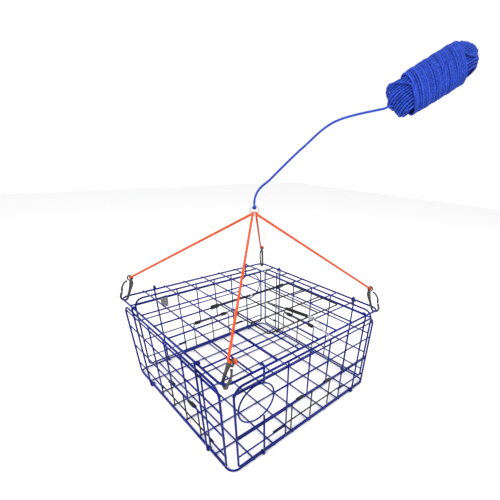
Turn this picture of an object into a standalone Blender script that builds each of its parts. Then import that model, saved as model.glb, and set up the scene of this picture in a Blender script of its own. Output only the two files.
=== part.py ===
"""Folding wire crab trap: base and lid grids, four hinged side panels with one-way entrance gates,
a lid door with its elastic latch, and a four-leg harness that clips to the lid and meets at a lift
ring with a hank of rope.

Metres, +Z up. The origin is on the ground under the middle of the base. The front is at -Y and the
left side is at -X, as seen by someone facing the latch.
Each side panel is drawn in its own outside view: u runs to the right, w up from the centre of the
base wire that the panel hangs on, and n outward from it.
"""

import math

import bmesh
import bpy
from mathutils import Vector

# Wire sizes, over the coating
FRAME_R = 0.0031
HINGE_R = 0.0028
GRID_R = 0.0021
RING_R = 0.0023
GATE_R = 0.0019
DOOR_R = 0.0019

# Base and lid
SIDE = 0.6106                     # outside width of the base and lid frames
AXIS = SIDE / 2 - FRAME_R         # centre line of the frame wire, which is the hinge axis
CORNER = 0.025                    # corner radius of the base and lid frames
RISE = 0.2995                     # height of the lid wire above the base wire
Y_WIRES = 7
X_WIRES = 6
X_WIRE_DROP = 0.0023              # how far the first grid layer sits off the frame
Y_WIRE_DROP = 0.0043              # and the second
HATCH_X = (-0.0755, 0.1511)       # the lid opening under the door
HATCH_Y = (-0.2159, 0.0432)

# Hinge curls
GAP = 0.0004                      # running clearance round a wire
CURL_R = FRAME_R + GAP + HINGE_R  # centre line of a curl round a frame wire
BASE_Z = CURL_R + HINGE_R         # the trap stands on the curls under its base wire
LID_Z = BASE_Z + RISE
HOOK_RISE = 0.006                 # the front and back hooks arch this far above the lid wire
HOOK_TIP = 0.0040                 # and their tips stop this far above its centre

# Side panels: how far each layer of wire is outward of the hinge axis
FRAME_N = 0.0014
UPRIGHT_N = 0.0024
RAIL_N = -0.0012
HOOP_N = 0.0035
PANEL_FOOT = 0.009
PANEL_HEAD = 0.280
HEAD_CORNER = 0.030
FOOT_CORNER = 0.010
RAILS = (0.260, 0.200, 0.120, 0.045)
SILL = 0.112                      # second rail beside the front entrance
HOOP_RADIUS = 0.0557
HOOP_W = 0.205

# Entrance gates
BAR_N = -0.0046
BAR_W = 0.1165
LEG_FOOT = 0.008
TRIP_N = -0.0022
TRIP_W = 0.051
LEG_CORNER = 0.005
SLEEVE_BORE = 0.0025
SLEEVE_WALL = 0.0026
SLEEVE_LENGTH = 0.022

# Each panel: frame sides, full uprights, uprights over the entrance, hinge wires, escape hoop,
# gate legs, gate trip bar and gate sleeves
PANELS = {
    "front": dict(
        frame=(-0.280, 0.279), full=(-0.110, 0.140), short=(-0.028, 0.057),
        hinges=(-0.195, 0.217), hoop=-0.216, legs=(-0.080, 0.005, 0.090),
        trip=(-0.156, 0.162), sleeves=(-0.051, 0.071),
    ),
    "back": dict(
        frame=(-0.296, 0.264), full=(-0.136, 0.107), short=(-0.054, 0.027),
        hinges=(-0.216, 0.187), hoop=-0.233, legs=(-0.104, -0.022, 0.063),
        trip=(-0.180, 0.138), sleeves=(-0.081, 0.044),
    ),
    "left": dict(
        frame=(-0.281, 0.281), full=(-0.091, 0.205), short=(0.008, 0.106),
        hinges=(-0.190, 0.190), hoop=None, legs=(-0.024, 0.058, 0.140),
        trip=(-0.099, 0.219), sleeves=(-0.006, 0.120),
    ),
    "right": dict(
        frame=(-0.281, 0.281), full=(-0.098, 0.205), short=(-0.002, 0.098),
        hinges=(-0.199, 0.189), hoop=None, legs=(-0.036, 0.055, 0.145),
        trip=(-0.104, 0.214), sleeves=(-0.018, 0.112),
    ),
}

# Lid door and its latch
DOOR_X = (-0.090, 0.208)
DOOR_Y = (-0.203, 0.0385)
DOOR_RAILS = (-0.042, -0.123)
DOOR_BARS = (0.006, 0.107)
DOOR_H = 0.0084                   # door frame above the lid wire
DOOR_BAR_H = 0.0115               # the bars cross over the door rails
DOOR_SLEEVES = (-0.1065, 0.174)
DOOR_SLEEVE_LENGTH = 0.026
SHOCK_R = 0.0014
GRIP_R = 0.0050
LATCH_WIRE_R = 0.0012

# Clips, harness and rope
CLIP_R = 0.0029
CLIP_LENGTH = 0.0685              # lid wire to the middle of the eye
CLIP_BEND = 0.0112
CLIP_DROP = 0.0076
EYE_RADIUS = 0.0074
EYE_R = 0.0022
CLIP_GATE_R = 0.0020
CORD_R = 0.0032
KNOT_SCALE = 1.6
RING_RADIUS = 0.0125
LIFT_R = 0.0017
LIFT_RING = Vector((0.017, -0.013, 0.5951))
LIFT_FACE = Vector((-0.6120, -0.7782, 0.1410)).normalized()
ROPE_R = 0.0030
HANK_MIDDLE = Vector((0.5645, -0.1785, 0.9356))
HANK_ALONG = Vector((0.790, -0.382, 0.480)).normalized()
HANK_FACE = Vector((-0.601, -0.600, 0.528))
HANK_LENGTH = 0.318
HANK_WIDTH = 0.119
HANK_DEPTH = 0.080
WRAP_LENGTH = 0.178

X = Vector((1.0, 0.0, 0.0))
Y = Vector((0.0, 1.0, 0.0))
Z = Vector((0.0, 0.0, 1.0))

for old in list(bpy.data.objects):
    bpy.data.objects.remove(old, do_unlink=True)

scene = bpy.context.scene
scene.unit_settings.system = "METRIC"
scene.unit_settings.scale_length = 1.0

PARTS = bpy.data.collections.new("folding_crab_trap")
CUTTERS = bpy.data.collections.new("cutters")
scene.collection.children.link(PARTS)
scene.collection.children.link(CUTTERS)


def material(name, colour, metallic, roughness):
    made = bpy.data.materials.new(name)
    made.use_nodes = True
    shader = made.node_tree.nodes["Principled BSDF"]
    shader.inputs["Base Color"].default_value = (*colour, 1.0)
    shader.inputs["Metallic"].default_value = metallic
    shader.inputs["Roughness"].default_value = roughness
    made.diffuse_color = (*colour, 1.0)
    return made


BLUE = ((0.012, 0.022, 0.24), 0.0, 0.30)
BLACK = ((0.012, 0.012, 0.013), 0.0, 0.45)
RUBBER = ((0.015, 0.015, 0.016), 0.0, 0.75)
STEEL = ((0.55, 0.56, 0.57), 1.0, 0.30)
GUNMETAL = ((0.10, 0.10, 0.11), 1.0, 0.35)
ZINC = ((0.16, 0.17, 0.18), 1.0, 0.65)
ORANGE = ((0.75, 0.13, 0.035), 0.0, 0.60)
ROPE_BLUE = ((0.03, 0.10, 0.60), 0.0, 0.70)


def finish(obj, look):
    """Gives a piece its own material and puts it among the parts."""
    obj.data.materials.clear()
    obj.data.materials.append(material(obj.name, *look))
    PARTS.objects.link(obj)
    return obj


def hide(obj, group):
    obj.hide_render = True
    obj.display_type = "WIRE"
    group.objects.link(obj)
    return obj


def wire(name, points, radius, closed=False, scales=None, sides=2):
    """A round wire along a line of points, as a closed mesh that isn't in any collection yet."""
    curve = bpy.data.curves.new(name, "CURVE")
    curve.dimensions = "3D"
    curve.bevel_depth = radius
    curve.bevel_resolution = sides
    curve.use_fill_caps = True
    spline = curve.splines.new("POLY")
    spline.points.add(len(points) - 1)
    for index, (point, at) in enumerate(zip(spline.points, points)):
        point.co = (*at, 1.0)
        point.radius = scales[index] if scales else 1.0
    spline.use_cyclic_u = closed
    drawn = bpy.data.objects.new(name + "_line", curve)
    CUTTERS.objects.link(drawn)
    bpy.context.view_layer.update()
    evaluated = drawn.evaluated_get(bpy.context.evaluated_depsgraph_get())
    mesh = bpy.data.meshes.new_from_object(evaluated)
    mesh.name = name
    bpy.data.objects.remove(drawn, do_unlink=True)
    bpy.data.curves.remove(curve)
    shape = bmesh.new()
    shape.from_mesh(mesh)
    bmesh.ops.remove_doubles(shape, verts=shape.verts, dist=1e-6)
    bmesh.ops.recalc_face_normals(shape, faces=shape.faces)
    shape.to_mesh(mesh)
    shape.free()
    return bpy.data.objects.new(name, mesh)


def weld(name, body, others, look):
    """Joins wires into one welded piece. The others stay as hidden helpers."""
    group = bpy.data.collections.new(name + "_wires")
    group.hide_render = True
    CUTTERS.children.link(group)
    for other in others:
        hide(other, group)
    finish(body, look)
    union = body.modifiers.new("Welds", "BOOLEAN")
    union.operation = "UNION"
    union.operand_type = "COLLECTION"
    union.collection = group
    union.solver = "EXACT"
    return body


def bore(body, drill, label):
    """Cuts a hole through a piece with a hidden drill."""
    hide(drill, CUTTERS)
    cut = body.modifiers.new(label, "BOOLEAN")
    cut.operation = "DIFFERENCE"
    cut.operand_type = "OBJECT"
    cut.object = drill
    cut.solver = "EXACT"


def mesh_object(name, verts, faces):
    mesh = bpy.data.meshes.new(name)
    mesh.from_pydata([tuple(v) for v in verts], [], faces)
    shape = bmesh.new()
    shape.from_mesh(mesh)
    bmesh.ops.recalc_face_normals(shape, faces=shape.faces)
    shape.to_mesh(mesh)
    shape.free()
    return bpy.data.objects.new(name, mesh)


def set_origin(obj, at):
    """Moves a piece's origin to a point without moving the piece."""
    for vert in obj.data.vertices:
        vert.co = vert.co - at
    obj.location = at


def arc(centre, radius, first, second, start, stop, steps):
    """Points on a circle from one angle to another, in the plane of two unit vectors."""
    points = []
    for step in range(steps + 1):
        turn = math.radians(start + (stop - start) * step / steps)
        points.append(centre + radius * (math.cos(turn) * first + math.sin(turn) * second))
    return points


def rounded_loop(low, high, radii, steps, place):
    """A rectangle with rounded corners, given as its low and high corners in a panel's view."""
    corners = (
        ((high[0], low[1]), 270, radii[0]),
        ((high[0], high[1]), 0, radii[1]),
        ((low[0], high[1]), 90, radii[1]),
        ((low[0], low[1]), 180, radii[0]),
    )
    points = []
    for (u, w), start, radius in corners:
        centre_u = u - math.copysign(radius, u - (low[0] + high[0]) / 2)
        centre_w = w - math.copysign(radius, w - (low[1] + high[1]) / 2)
        for step in range(steps + 1):
            turn = math.radians(start + 90 * step / steps)
            points.append(
                place(centre_u + radius * math.cos(turn), centre_w + radius * math.sin(turn))
            )
    return points


def smooth(points, steps):
    """A Catmull-Rom line through the points."""
    line = []
    for index in range(len(points) - 1):
        before = points[max(index - 1, 0)]
        start = points[index]
        end = points[index + 1]
        after = points[min(index + 2, len(points) - 1)]
        for step in range(steps):
            t = step / steps
            line.append(
                0.5 * (
                    2 * start
                    + (end - before) * t
                    + (2 * before - 5 * start + 4 * end - after) * t * t
                    + (3 * start - before - 3 * end + after) * t ** 3
                )
            )
    line.append(points[-1])
    return line


def sleeve(name, first, second, along, length, bore_r, wall, look, steps=6):
    """A short tube along a direction. Its hole is a slot wide enough for wires at two centres."""
    across = second - first
    if across.length < 1e-6:
        across = along.orthogonal()
    across = across.normalized()
    side = along.cross(across).normalized()
    rings = []
    for radius in (bore_r + wall, bore_r):
        ring = arc(second, radius, across, side, -90, 90, steps)
        back = arc(first, radius, across, side, 90, 270, steps)
        if (second - first).length < 1e-6:
            ring = ring[:-1]
            back = back[:-1]
        rings.append(ring + back)
    count = len(rings[0])
    verts = []
    for ring in rings:
        for end in (-0.5, 0.5):
            verts += [point + along * length * end for point in ring]
    faces = []
    for index in range(count):
        after = (index + 1) % count
        faces.append((index, after, count + after, count + index))
        faces.append((2 * count + index, 3 * count + index, 3 * count + after, 2 * count + after))
        faces.append((index, 2 * count + index, 2 * count + after, after))
        faces.append((count + index, count + after, 3 * count + after, 3 * count + index))
    return finish(mesh_object(name, verts, faces), look)


# Panel views: each gives a point of space for (u, w) at a distance n outward
def front_view(u, w, n):
    return Vector((u, -AXIS - n, BASE_Z + w))


def back_view(u, w, n):
    return Vector((-u, AXIS + n, BASE_Z + w))


def left_view(u, w, n):
    return Vector((-AXIS - n, -u, BASE_Z + w))


def right_view(u, w, n):
    return Vector((AXIS + n, u, BASE_Z + w))


VIEWS = {"front": front_view, "back": back_view, "left": left_view, "right": right_view}
ALONG = {"front": X, "back": -X, "left": -Y, "right": Y}


def grid_positions(count, spaces):
    step = 2 * AXIS / spaces
    return [step * (index - (count - 1) / 2) for index in range(count)]


# Base and lid: a frame with one layer of wires welded to it and a second layer across the first
def flat_grid(name, z, up, hatch):
    def place(u, w):
        return Vector((u, w, z))

    loop = rounded_loop((-AXIS, -AXIS), (AXIS, AXIS), (CORNER, CORNER), 6, place)
    body = wire(name, loop, FRAME_R, closed=True)
    wires = []
    for x in grid_positions(Y_WIRES, Y_WIRES + 1):
        at = z + up * Y_WIRE_DROP
        spans = [(-AXIS, AXIS)]
        if hatch and HATCH_X[0] + 0.01 < x < HATCH_X[1] - 0.01:
            spans = [(-AXIS, HATCH_Y[0]), (HATCH_Y[1], AXIS)]
        for start, end in spans:
            line = [Vector((x, start, at)), Vector((x, end, at))]
            wires.append(wire(name + "_y", line, GRID_R, sides=1))
    for y in grid_positions(X_WIRES, X_WIRES + 1):
        at = z + up * X_WIRE_DROP
        spans = [(-AXIS, AXIS)]
        if hatch and HATCH_Y[0] + 0.01 < y < HATCH_Y[1] - 0.01:
            spans = [(-AXIS, HATCH_X[0]), (HATCH_X[1], AXIS)]
        for start, end in spans:
            line = [Vector((start, y, at)), Vector((end, y, at))]
            wires.append(wire(name + "_x", line, GRID_R, sides=1))
    return weld(name, body, wires, BLUE)


flat_grid("base_panel", BASE_Z, -1, False)
flat_grid("lid_panel", LID_Z, 1, True)


# Hinge wires: an eye round the base wire, a leg up the outside of the panel, then a hook or an eye
def foot_eye(place, u, top):
    outward = place(u, 0, 1) - place(u, 0, 0)
    points = arc(place(u, 0, 0), CURL_R, outward, Z, -255, 0, 15)
    return points + [place(u, PANEL_FOOT, CURL_R), place(u, top, CURL_R)]


def head_hook(place, u, start):
    outward = place(u, 0, 1) - place(u, 0, 0)
    arch = arc(place(u, RISE + HOOK_RISE, 0), CURL_R, outward, Z, 0, 180, 10)
    return [place(u, start, CURL_R)] + arch + [place(u, RISE + HOOK_TIP, -CURL_R)]


def head_eye(place, u, start):
    outward = place(u, 0, 1) - place(u, 0, 0)
    return [place(u, start, CURL_R)] + arc(place(u, RISE, 0), CURL_R, outward, Z, 0, 255, 15)


def hinge_wires(label, place, side):
    made = []
    head = head_hook if side in ("front", "back") else head_eye
    for u in PANELS[side]["hinges"]:
        hoop = PANELS[side]["hoop"]
        if hoop is not None and abs(u - hoop) < HOOP_RADIUS:
            reach = math.sqrt((HOOP_RADIUS + RING_R) ** 2 - (u - hoop) ** 2)
            low = foot_eye(place, u, HOOP_W - reach - 0.001)
            high = head_hook(place, u, HOOP_W + reach + 0.0015)
            made.append(wire(label + "_hinge_low", low, HINGE_R))
            made.append(wire(label + "_hinge_high", high, HINGE_R))
        else:
            line = foot_eye(place, u, PANEL_HEAD) + head(place, u, PANEL_HEAD + 0.002)
            made.append(wire(label + "_hinge", line, HINGE_R))
    return made


def side_panel(side):
    view = VIEWS[side]
    sizes = PANELS[side]
    name = side + "_panel"
    left, right = sizes["frame"]

    def place(u, w, n=0.0):
        return view(u, w, n)

    def in_frame(u, w):
        return view(u, w, FRAME_N)

    loop = rounded_loop(
        (left, PANEL_FOOT), (right, PANEL_HEAD), (FOOT_CORNER, HEAD_CORNER), 5, in_frame
    )
    body = wire(name, loop, FRAME_R, closed=True)
    wires = []

    def rail(start, end, w):
        line = [view(start, w, RAIL_N), view(end, w, RAIL_N)]
        wires.append(wire(name + "_rail", line, GRID_R, sides=1))

    def upright(u, low):
        line = [view(u, low, UPRIGHT_N), view(u, PANEL_HEAD, UPRIGHT_N)]
        wires.append(wire(name + "_upright", line, GRID_R, sides=1))

    door_left, door_right = sizes["full"]
    hoop_edge = left
    if sizes["hoop"] is not None:
        hoop_edge = sizes["hoop"] + HOOP_RADIUS
    rail(left, right, RAILS[0])
    rail(hoop_edge, right, RAILS[1])
    rail(left, right, RAILS[2])
    rail(left, door_left, RAILS[3])
    rail(door_right, right, RAILS[3])
    if side == "front":
        rail(left, door_left, SILL)
        rail(door_right, right, SILL)
    for u in sizes["full"]:
        upright(u, PANEL_FOOT)
    for u in sizes["short"]:
        upright(u, RAILS[2])
    wires += hinge_wires(name, place, side)
    weld(name, body, wires, BLUE)
    set_origin(body, view(0, 0, 0))
    for index, u in enumerate(sizes["sleeves"]):
        sleeve(
            side + "_sleeve_" + "ab"[index], view(u, RAILS[2], RAIL_N), view(u, BAR_W, BAR_N),
            ALONG[side], SLEEVE_LENGTH, SLEEVE_BORE, SLEEVE_WALL, BLACK,
        )
    if sizes["hoop"] is not None:
        centre = view(sizes["hoop"], HOOP_W, HOOP_N)
        hoop = arc(centre, HOOP_RADIUS, ALONG[side], Z, 0, 360, 40)[:-1]
        finish(wire(side + "_escape_ring", hoop, RING_R, closed=True), BLUE)


# A gate: one wire bent into the top bar and outer legs, a middle leg, and a trip bar across them
def gate(side):
    view = VIEWS[side]
    left, middle, right = PANELS[side]["legs"]
    name = side + "_gate"
    along = ALONG[side]
    turn_l = arc(view(left + LEG_CORNER, BAR_W - LEG_CORNER, BAR_N), LEG_CORNER, along, Z, 180, 90, 4)
    turn_r = arc(view(right - LEG_CORNER, BAR_W - LEG_CORNER, BAR_N), LEG_CORNER, along, Z, 90, 0, 4)
    ends = [view(left, LEG_FOOT, BAR_N)], [view(right, LEG_FOOT, BAR_N)]
    body = wire(name, ends[0] + turn_l + turn_r + ends[1], GATE_R, sides=1)
    post = wire(
        name + "_leg", [view(middle, BAR_W, BAR_N), view(middle, LEG_FOOT, BAR_N)], GATE_R, sides=1
    )
    start, end = PANELS[side]["trip"]
    trip = wire(
        name + "_trip", [view(start, TRIP_W, TRIP_N), view(end, TRIP_W, TRIP_N)], GATE_R, sides=1
    )
    weld(name, body, [post, trip], BLACK)
    set_origin(body, view((left + right) / 2, BAR_W, BAR_N))


for side in PANELS:
    side_panel(side)
    gate(side)

# Zinc anode cast on the back panel's top rail
anode_u = 0.163
anode_outline = (
    (-0.011, 0.228), (0.011, 0.228), (0.0125, 0.240), (0.0125, 0.266), (-0.0125, 0.268),
    (-0.0125, 0.240),
)
anode_verts = []
for n in (-0.0085, 0.0015):
    anode_verts += [back_view(anode_u + u, w, n) for u, w in anode_outline]
anode_sides = len(anode_outline)
anode_faces = [tuple(range(anode_sides)), tuple(range(anode_sides, 2 * anode_sides))]
for index in range(anode_sides):
    after = (index + 1) % anode_sides
    anode_faces.append((index, after, anode_sides + after, anode_sides + index))
anode = finish(mesh_object("zinc_anode", anode_verts, anode_faces), ZINC)
anode_hole = [back_view(anode_u - 0.03, RAILS[0], RAIL_N), back_view(anode_u + 0.03, RAILS[0], RAIL_N)]
bore(anode, wire("anode_drill", anode_hole, GRID_R + 0.0003), "Rail hole")


# Lid door
def door_place(u, w):
    return Vector((u, w, LID_Z + DOOR_H))


door_loop = rounded_loop(
    (DOOR_X[0], DOOR_Y[0]), (DOOR_X[1], DOOR_Y[1]), (0.006, 0.006), 3, door_place
)
door = wire("lid_door", door_loop, DOOR_R, closed=True)
door_wires = []
for y in DOOR_RAILS:
    line = [door_place(DOOR_X[0], y), door_place(DOOR_X[1], y)]
    door_wires.append(wire("door_rail", line, DOOR_R, sides=1))
for x in DOOR_BARS:
    line = [Vector((x, y, LID_Z + DOOR_BAR_H)) for y in DOOR_Y]
    door_wires.append(wire("door_bar", line, DOOR_R, sides=1))
hinge_ear = [
    door_place(DOOR_X[0] + 0.010, DOOR_Y[1]), door_place(DOOR_SLEEVES[0] - 0.014, DOOR_Y[1])
]
door_wires.append(wire("door_ear", hinge_ear, DOOR_R))
weld("lid_door", door, door_wires, BLACK)
set_origin(door, Vector((0.059, DOOR_Y[1], LID_Z + DOOR_H)))
lid_rail = Vector((0.0, grid_positions(X_WIRES, X_WIRES + 1)[3], LID_Z + X_WIRE_DROP))
for index, x in enumerate(DOOR_SLEEVES):
    sleeve(
        "door_sleeve_" + "ab"[index], lid_rail + X * x, Vector((x, DOOR_Y[1], LID_Z + DOOR_H)),
        X, DOOR_SLEEVE_LENGTH, SLEEVE_BORE, SLEEVE_WALL, BLACK,
    )

# Latch: a doubled elastic from the door, a rubber grip, and a steel hook over the lid's front wire
shock_z = LID_Z + DOOR_H + DOOR_R + 0.0006 + SHOCK_R
grip_z = LID_Z + DOOR_H + DOOR_R + 0.0006 + GRIP_R
shock_foot = Vector((0.033, -0.0465, shock_z))
grip_start = Vector((0.044, -0.1285, grip_z))
grip_end = Vector((0.058, -0.208, grip_z))
shock_line = grip_start - shock_foot
shock_line.z = 0.0
shock_dir = shock_line.normalized()
shock_side = Z.cross(shock_dir)
shock_head = grip_start - shock_dir * 0.0005
shock_neck = shock_head - shock_dir * 0.012
shock_neck.z = (shock_z + grip_z) / 2
shock_half = [
    shock_head + shock_side * 0.0022, shock_neck + shock_side * 0.0022,
    shock_foot + shock_dir * 0.030 + shock_side * 0.0030,
    shock_foot + shock_dir * 0.004 + shock_side * 0.0030,
]
shock_turn = arc(shock_foot + shock_dir * 0.003, 0.0030, shock_side, -shock_dir, 0, 180, 8)
shock_back = [
    shock_foot + shock_dir * 0.004 - shock_side * 0.0030,
    shock_foot + shock_dir * 0.030 - shock_side * 0.0030,
    shock_neck - shock_side * 0.0022, shock_head - shock_side * 0.0022,
]
finish(wire("latch_elastic", shock_half + shock_turn + shock_back, SHOCK_R), RUBBER)
sleeve(
    "latch_crimp_back", Vector((0.035, DOOR_Y[1], LID_Z + DOOR_H)),
    Vector((0.035, DOOR_Y[1], LID_Z + DOOR_H)), X, 0.009, 0.0023, 0.0014, STEEL,
)
sleeve(
    "latch_crimp_mid", Vector((0.033, DOOR_RAILS[0], LID_Z + DOOR_H)),
    Vector((0.033, DOOR_RAILS[0], LID_Z + DOOR_H)), X, 0.009, 0.0023, 0.0010, STEEL,
)

grip_dir = (grip_end - grip_start).normalized()
grip = finish(wire("latch_grip", [grip_start, grip_end], GRIP_R), RUBBER)
set_origin(grip, grip_start)
crimp_start = grip_end + grip_dir * 0.0085
crimp_end = grip_end + grip_dir * 0.0205
hook_crest = Vector((0.039, -AXIS, LID_Z + FRAME_R + 0.0006 + LATCH_WIRE_R))
hook_dir = hook_crest - crimp_end
hook_dir.z = 0.0
hook_dir.normalize()
hook_side = Z.cross(hook_dir)
hook_spread = 0.0034


def hook_strand(offset):
    reach = FRAME_R + 0.0006 + LATCH_WIRE_R
    middle = Vector((hook_crest.x + offset, -AXIS, LID_Z))
    bend = arc(middle, reach, Z, hook_dir, 0, 90, 6)
    tip = middle + hook_dir * reach - Z * 0.0085
    run = [
        grip_end + grip_dir * 0.0018 + hook_side * offset * 0.45,
        crimp_end + hook_side * offset * 0.45,
        crimp_end + hook_dir * 0.014 + hook_side * offset - Z * 0.0010,
        hook_crest - hook_dir * 0.012 + X * offset + Z * 0.0012,
    ]
    return run + bend + [tip]


out_strand = hook_strand(hook_spread)
back_strand = hook_strand(-hook_spread)
tip_middle = (out_strand[-1] + back_strand[-1]) / 2
tip_turn = arc(tip_middle, hook_spread, X, -Z, 0, 180, 8)[1:-1]
strands = out_strand + tip_turn + back_strand[::-1]
finish(wire("latch_hook", strands, LATCH_WIRE_R), STEEL)
sleeve(
    "latch_crimp", (crimp_start + crimp_end) / 2, (crimp_start + crimp_end) / 2, grip_dir,
    (crimp_end - crimp_start).length, 0.0035, 0.0012, STEEL,
)

# Corner clips: a bent wire with an eye at one end, and a sprung wire gate on the outer side
CLIPS = {
    "fl": (Vector((-0.2865, -0.3155, 0.3721)), Vector((-0.966, 0.259, 0.0)), (-1, -1)),
    "fr": (Vector((0.2994, -0.2592, 0.3669)), Vector((-1.0, -1.0, 0.0)), (1, -1)),
    "bl": (Vector((-0.2620, 0.2970, 0.3687)), Vector((1.0, 1.0, 0.0)), (-1, 1)),
    "br": (Vector((0.3043, 0.3086, 0.3751)), Vector((0.966, -0.259, 0.0)), (1, 1)),
}
eyes = {}
for key, (toward, facing, corner) in CLIPS.items():
    reach = AXIS - CORNER * (1 - math.sqrt(0.5))
    seat = Vector((corner[0] * reach, corner[1] * reach, LID_Z))
    up = (toward - seat).normalized()
    face = (facing - up * facing.dot(up)).normalized()
    across = face.cross(up)
    eye = seat + up * CLIP_LENGTH
    eyes[key] = (eye, face)
    bend = seat + up * (CLIP_BEND - CLIP_DROP)
    body_line = [eye - up * 0.0058 + across * 0.0046, eye - up * 0.0150 + across * 0.0088]
    body_line += arc(bend, CLIP_BEND, across, -up, 0, 180, 12)
    body_line += [bend - across * CLIP_BEND + up * 0.006, bend - across * CLIP_BEND + up * 0.012]
    clip = wire("clip_" + key, body_line, CLIP_R)
    loop = arc(eye, EYE_RADIUS, across, up, 0, 360, 20)[:-1]
    weld("clip_" + key, clip, [wire("clip_eye", loop, EYE_R, closed=True)], GUNMETAL)
    pivot = eye - up * 0.0118 - across * 0.0058
    nose = bend - across * CLIP_BEND + up * 0.0130
    bow = smooth(
        [pivot, pivot - up * 0.010 - across * 0.0050, nose + up * 0.014 - across * 0.0022, nose], 5
    )
    gate_bow = finish(wire("clip_gate_" + key, bow, CLIP_GATE_R), GUNMETAL)
    set_origin(gate_bow, pivot)


# A cord's end: over a rim, through the hole inside it, and a stopper knot behind
def hitch(rim, rim_r, cord_r, face, inward):
    reach = rim_r + cord_r + 0.0005
    turn = arc(rim, reach, face, inward, 0, 90, 5)
    through = rim + inward * reach
    knot = rim_r + cord_r * KNOT_SCALE
    points = turn + [through - face * (knot - cord_r * 1.2)]
    points += [through - face * (knot + cord_r * step) for step in (-0.6, 0.0, 0.8, 1.4)]
    scales = [1.0] * len(turn) + [1.0, 1.4, KNOT_SCALE, KNOT_SCALE, 1.0]
    return points, scales


ring_right = LIFT_FACE.cross(Z).normalized()
if ring_right.dot(X) < 0:
    ring_right.negate()
ring_up = LIFT_FACE.cross(ring_right)
if ring_up.z < 0:
    ring_up.negate()
ring_loop = arc(LIFT_RING, RING_RADIUS, ring_right, ring_up, 0, 360, 36)[:-1]
finish(wire("lift_ring", ring_loop, LIFT_R, closed=True), STEEL)


def ring_rim(angle):
    turn = math.radians(angle)
    spoke = math.cos(turn) * ring_right + math.sin(turn) * ring_up
    return LIFT_RING + spoke * RING_RADIUS, -spoke


def eye_end(key):
    """A cord's knotted end at a clip's eye, from the side that pulls toward the lift ring."""
    eye, face = eyes[key]
    pull = (LIFT_RING - eye).normalized()
    spoke = (pull - face * pull.dot(face)).normalized()
    if face.dot(Vector((-0.6, -0.8, 0.0))) < 0:
        face = -face
    return hitch(eye + spoke * EYE_RADIUS, EYE_R, CORD_R, face, -spoke)


# Harness: each cord runs from a back clip, through the lift ring from behind, to a front clip
for name, back, front, angle in (
    ("harness_left", "bl", "fl", -124), ("harness_right", "br", "fr", -56),
):
    rim, inward = ring_rim(angle)
    low, low_scales = eye_end(back)
    high, high_scales = eye_end(front)
    away = (low[0] - rim).normalized()
    toward = (high[0] - rim).normalized()
    start = math.degrees(math.atan2(-away.dot(inward), -away.dot(LIFT_FACE)))
    stop = math.degrees(math.atan2(-toward.dot(inward), toward.dot(LIFT_FACE)))
    turn = arc(rim, LIFT_R + CORD_R + GAP, inward, LIFT_FACE, -start, stop, 7)
    line = low[::-1] + turn + high
    scales = low_scales[::-1] + [1.0] * len(turn) + high_scales
    finish(wire(name, line, CORD_R, scales=scales), ORANGE)

# Rope from the lift ring to a wrapped hank
rim, inward = ring_rim(90)
start, start_scales = hitch(rim, LIFT_R, ROPE_R, LIFT_FACE, inward)
rope_path = [
    start[0] + ring_up * 0.008, Vector((0.0243, -0.0078, 0.6271)),
    Vector((0.0385, -0.0011, 0.6401)), Vector((0.0582, 0.0037, 0.6523)),
    Vector((0.0884, 0.0056, 0.6674)), Vector((0.1355, 0.0071, 0.6971)),
    Vector((0.212, -0.0015, 0.7500)), Vector((0.312, -0.033, 0.8191)),
]
hank_face = (HANK_FACE - HANK_ALONG * HANK_FACE.dot(HANK_ALONG)).normalized()
hank_across = hank_face.cross(HANK_ALONG)
if hank_across.z < 0:
    hank_across.negate()
hank_foot = HANK_MIDDLE - HANK_ALONG * HANK_LENGTH / 2
rope_end = hank_foot - HANK_ALONG * 0.004
lead = smooth([start[0]] + rope_path + [rope_end], 5)[1:]
rope_scales = start_scales[::-1] + [1.0] * len(lead)
finish(wire("rope", start[::-1] + lead, ROPE_R, scales=rope_scales), ROPE_BLUE)

# The hank: a wrapped barrel with a bundle of bights standing out of each end
stations = []
for step in range(9):
    s = -1 + step / 4
    swell = 1 - 0.22 * abs(s) ** 3
    stations.append((s * WRAP_LENGTH / 2, swell))
hank_verts = []
hank_sides = 16
for s, swell in stations:
    for index in range(hank_sides):
        turn = 2 * math.pi * index / hank_sides
        hank_verts.append(
            HANK_MIDDLE + HANK_ALONG * (s + 0.004)
            + hank_across * (HANK_WIDTH / 2 * swell * math.cos(turn))
            + hank_face * (HANK_DEPTH / 2 * swell * math.sin(turn))
        )
hank_faces = [tuple(range(hank_sides))]
for row in range(len(stations) - 1):
    for index in range(hank_sides):
        after = (index + 1) % hank_sides
        low = row * hank_sides
        hank_faces.append((low + index, low + after, low + hank_sides + after, low + hank_sides + index))
last = (len(stations) - 1) * hank_sides
hank_faces.append(tuple(range(last, last + hank_sides)))
hank = mesh_object("rope_hank", hank_verts, hank_faces)
BIGHT_R = 0.013


def bight(label, sign, half_width, reach):
    """A bundle of rope bights that comes out of the wrapping and turns back into it."""
    neck = WRAP_LENGTH / 2 * sign
    out = HANK_LENGTH / 2 * reach * sign - BIGHT_R * sign
    middle = HANK_MIDDLE + HANK_ALONG * 0.004 * sign
    points = [
        middle + HANK_ALONG * (neck * 0.8) + hank_across * 0.022,
        middle + HANK_ALONG * (neck * 0.45 + out * 0.55) + hank_across * half_width,
    ]
    cap = middle + HANK_ALONG * (out - half_width * 0.75 * sign)
    points += arc(cap, half_width, hank_across, HANK_ALONG * sign * 0.75, 20, 160, 8)
    points += [
        middle + HANK_ALONG * (neck * 0.45 + out * 0.55) - hank_across * half_width,
        middle + HANK_ALONG * (neck * 0.8) - hank_across * 0.022,
    ]
    return wire(label, points, BIGHT_R)


lower = bight("bight_low", -1, 0.047, 0.94)
upper = bight("bight_high", 1, 0.034, 0.97)
weld("rope_hank", hank, [lower, upper], ROPE_BLUE)
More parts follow.
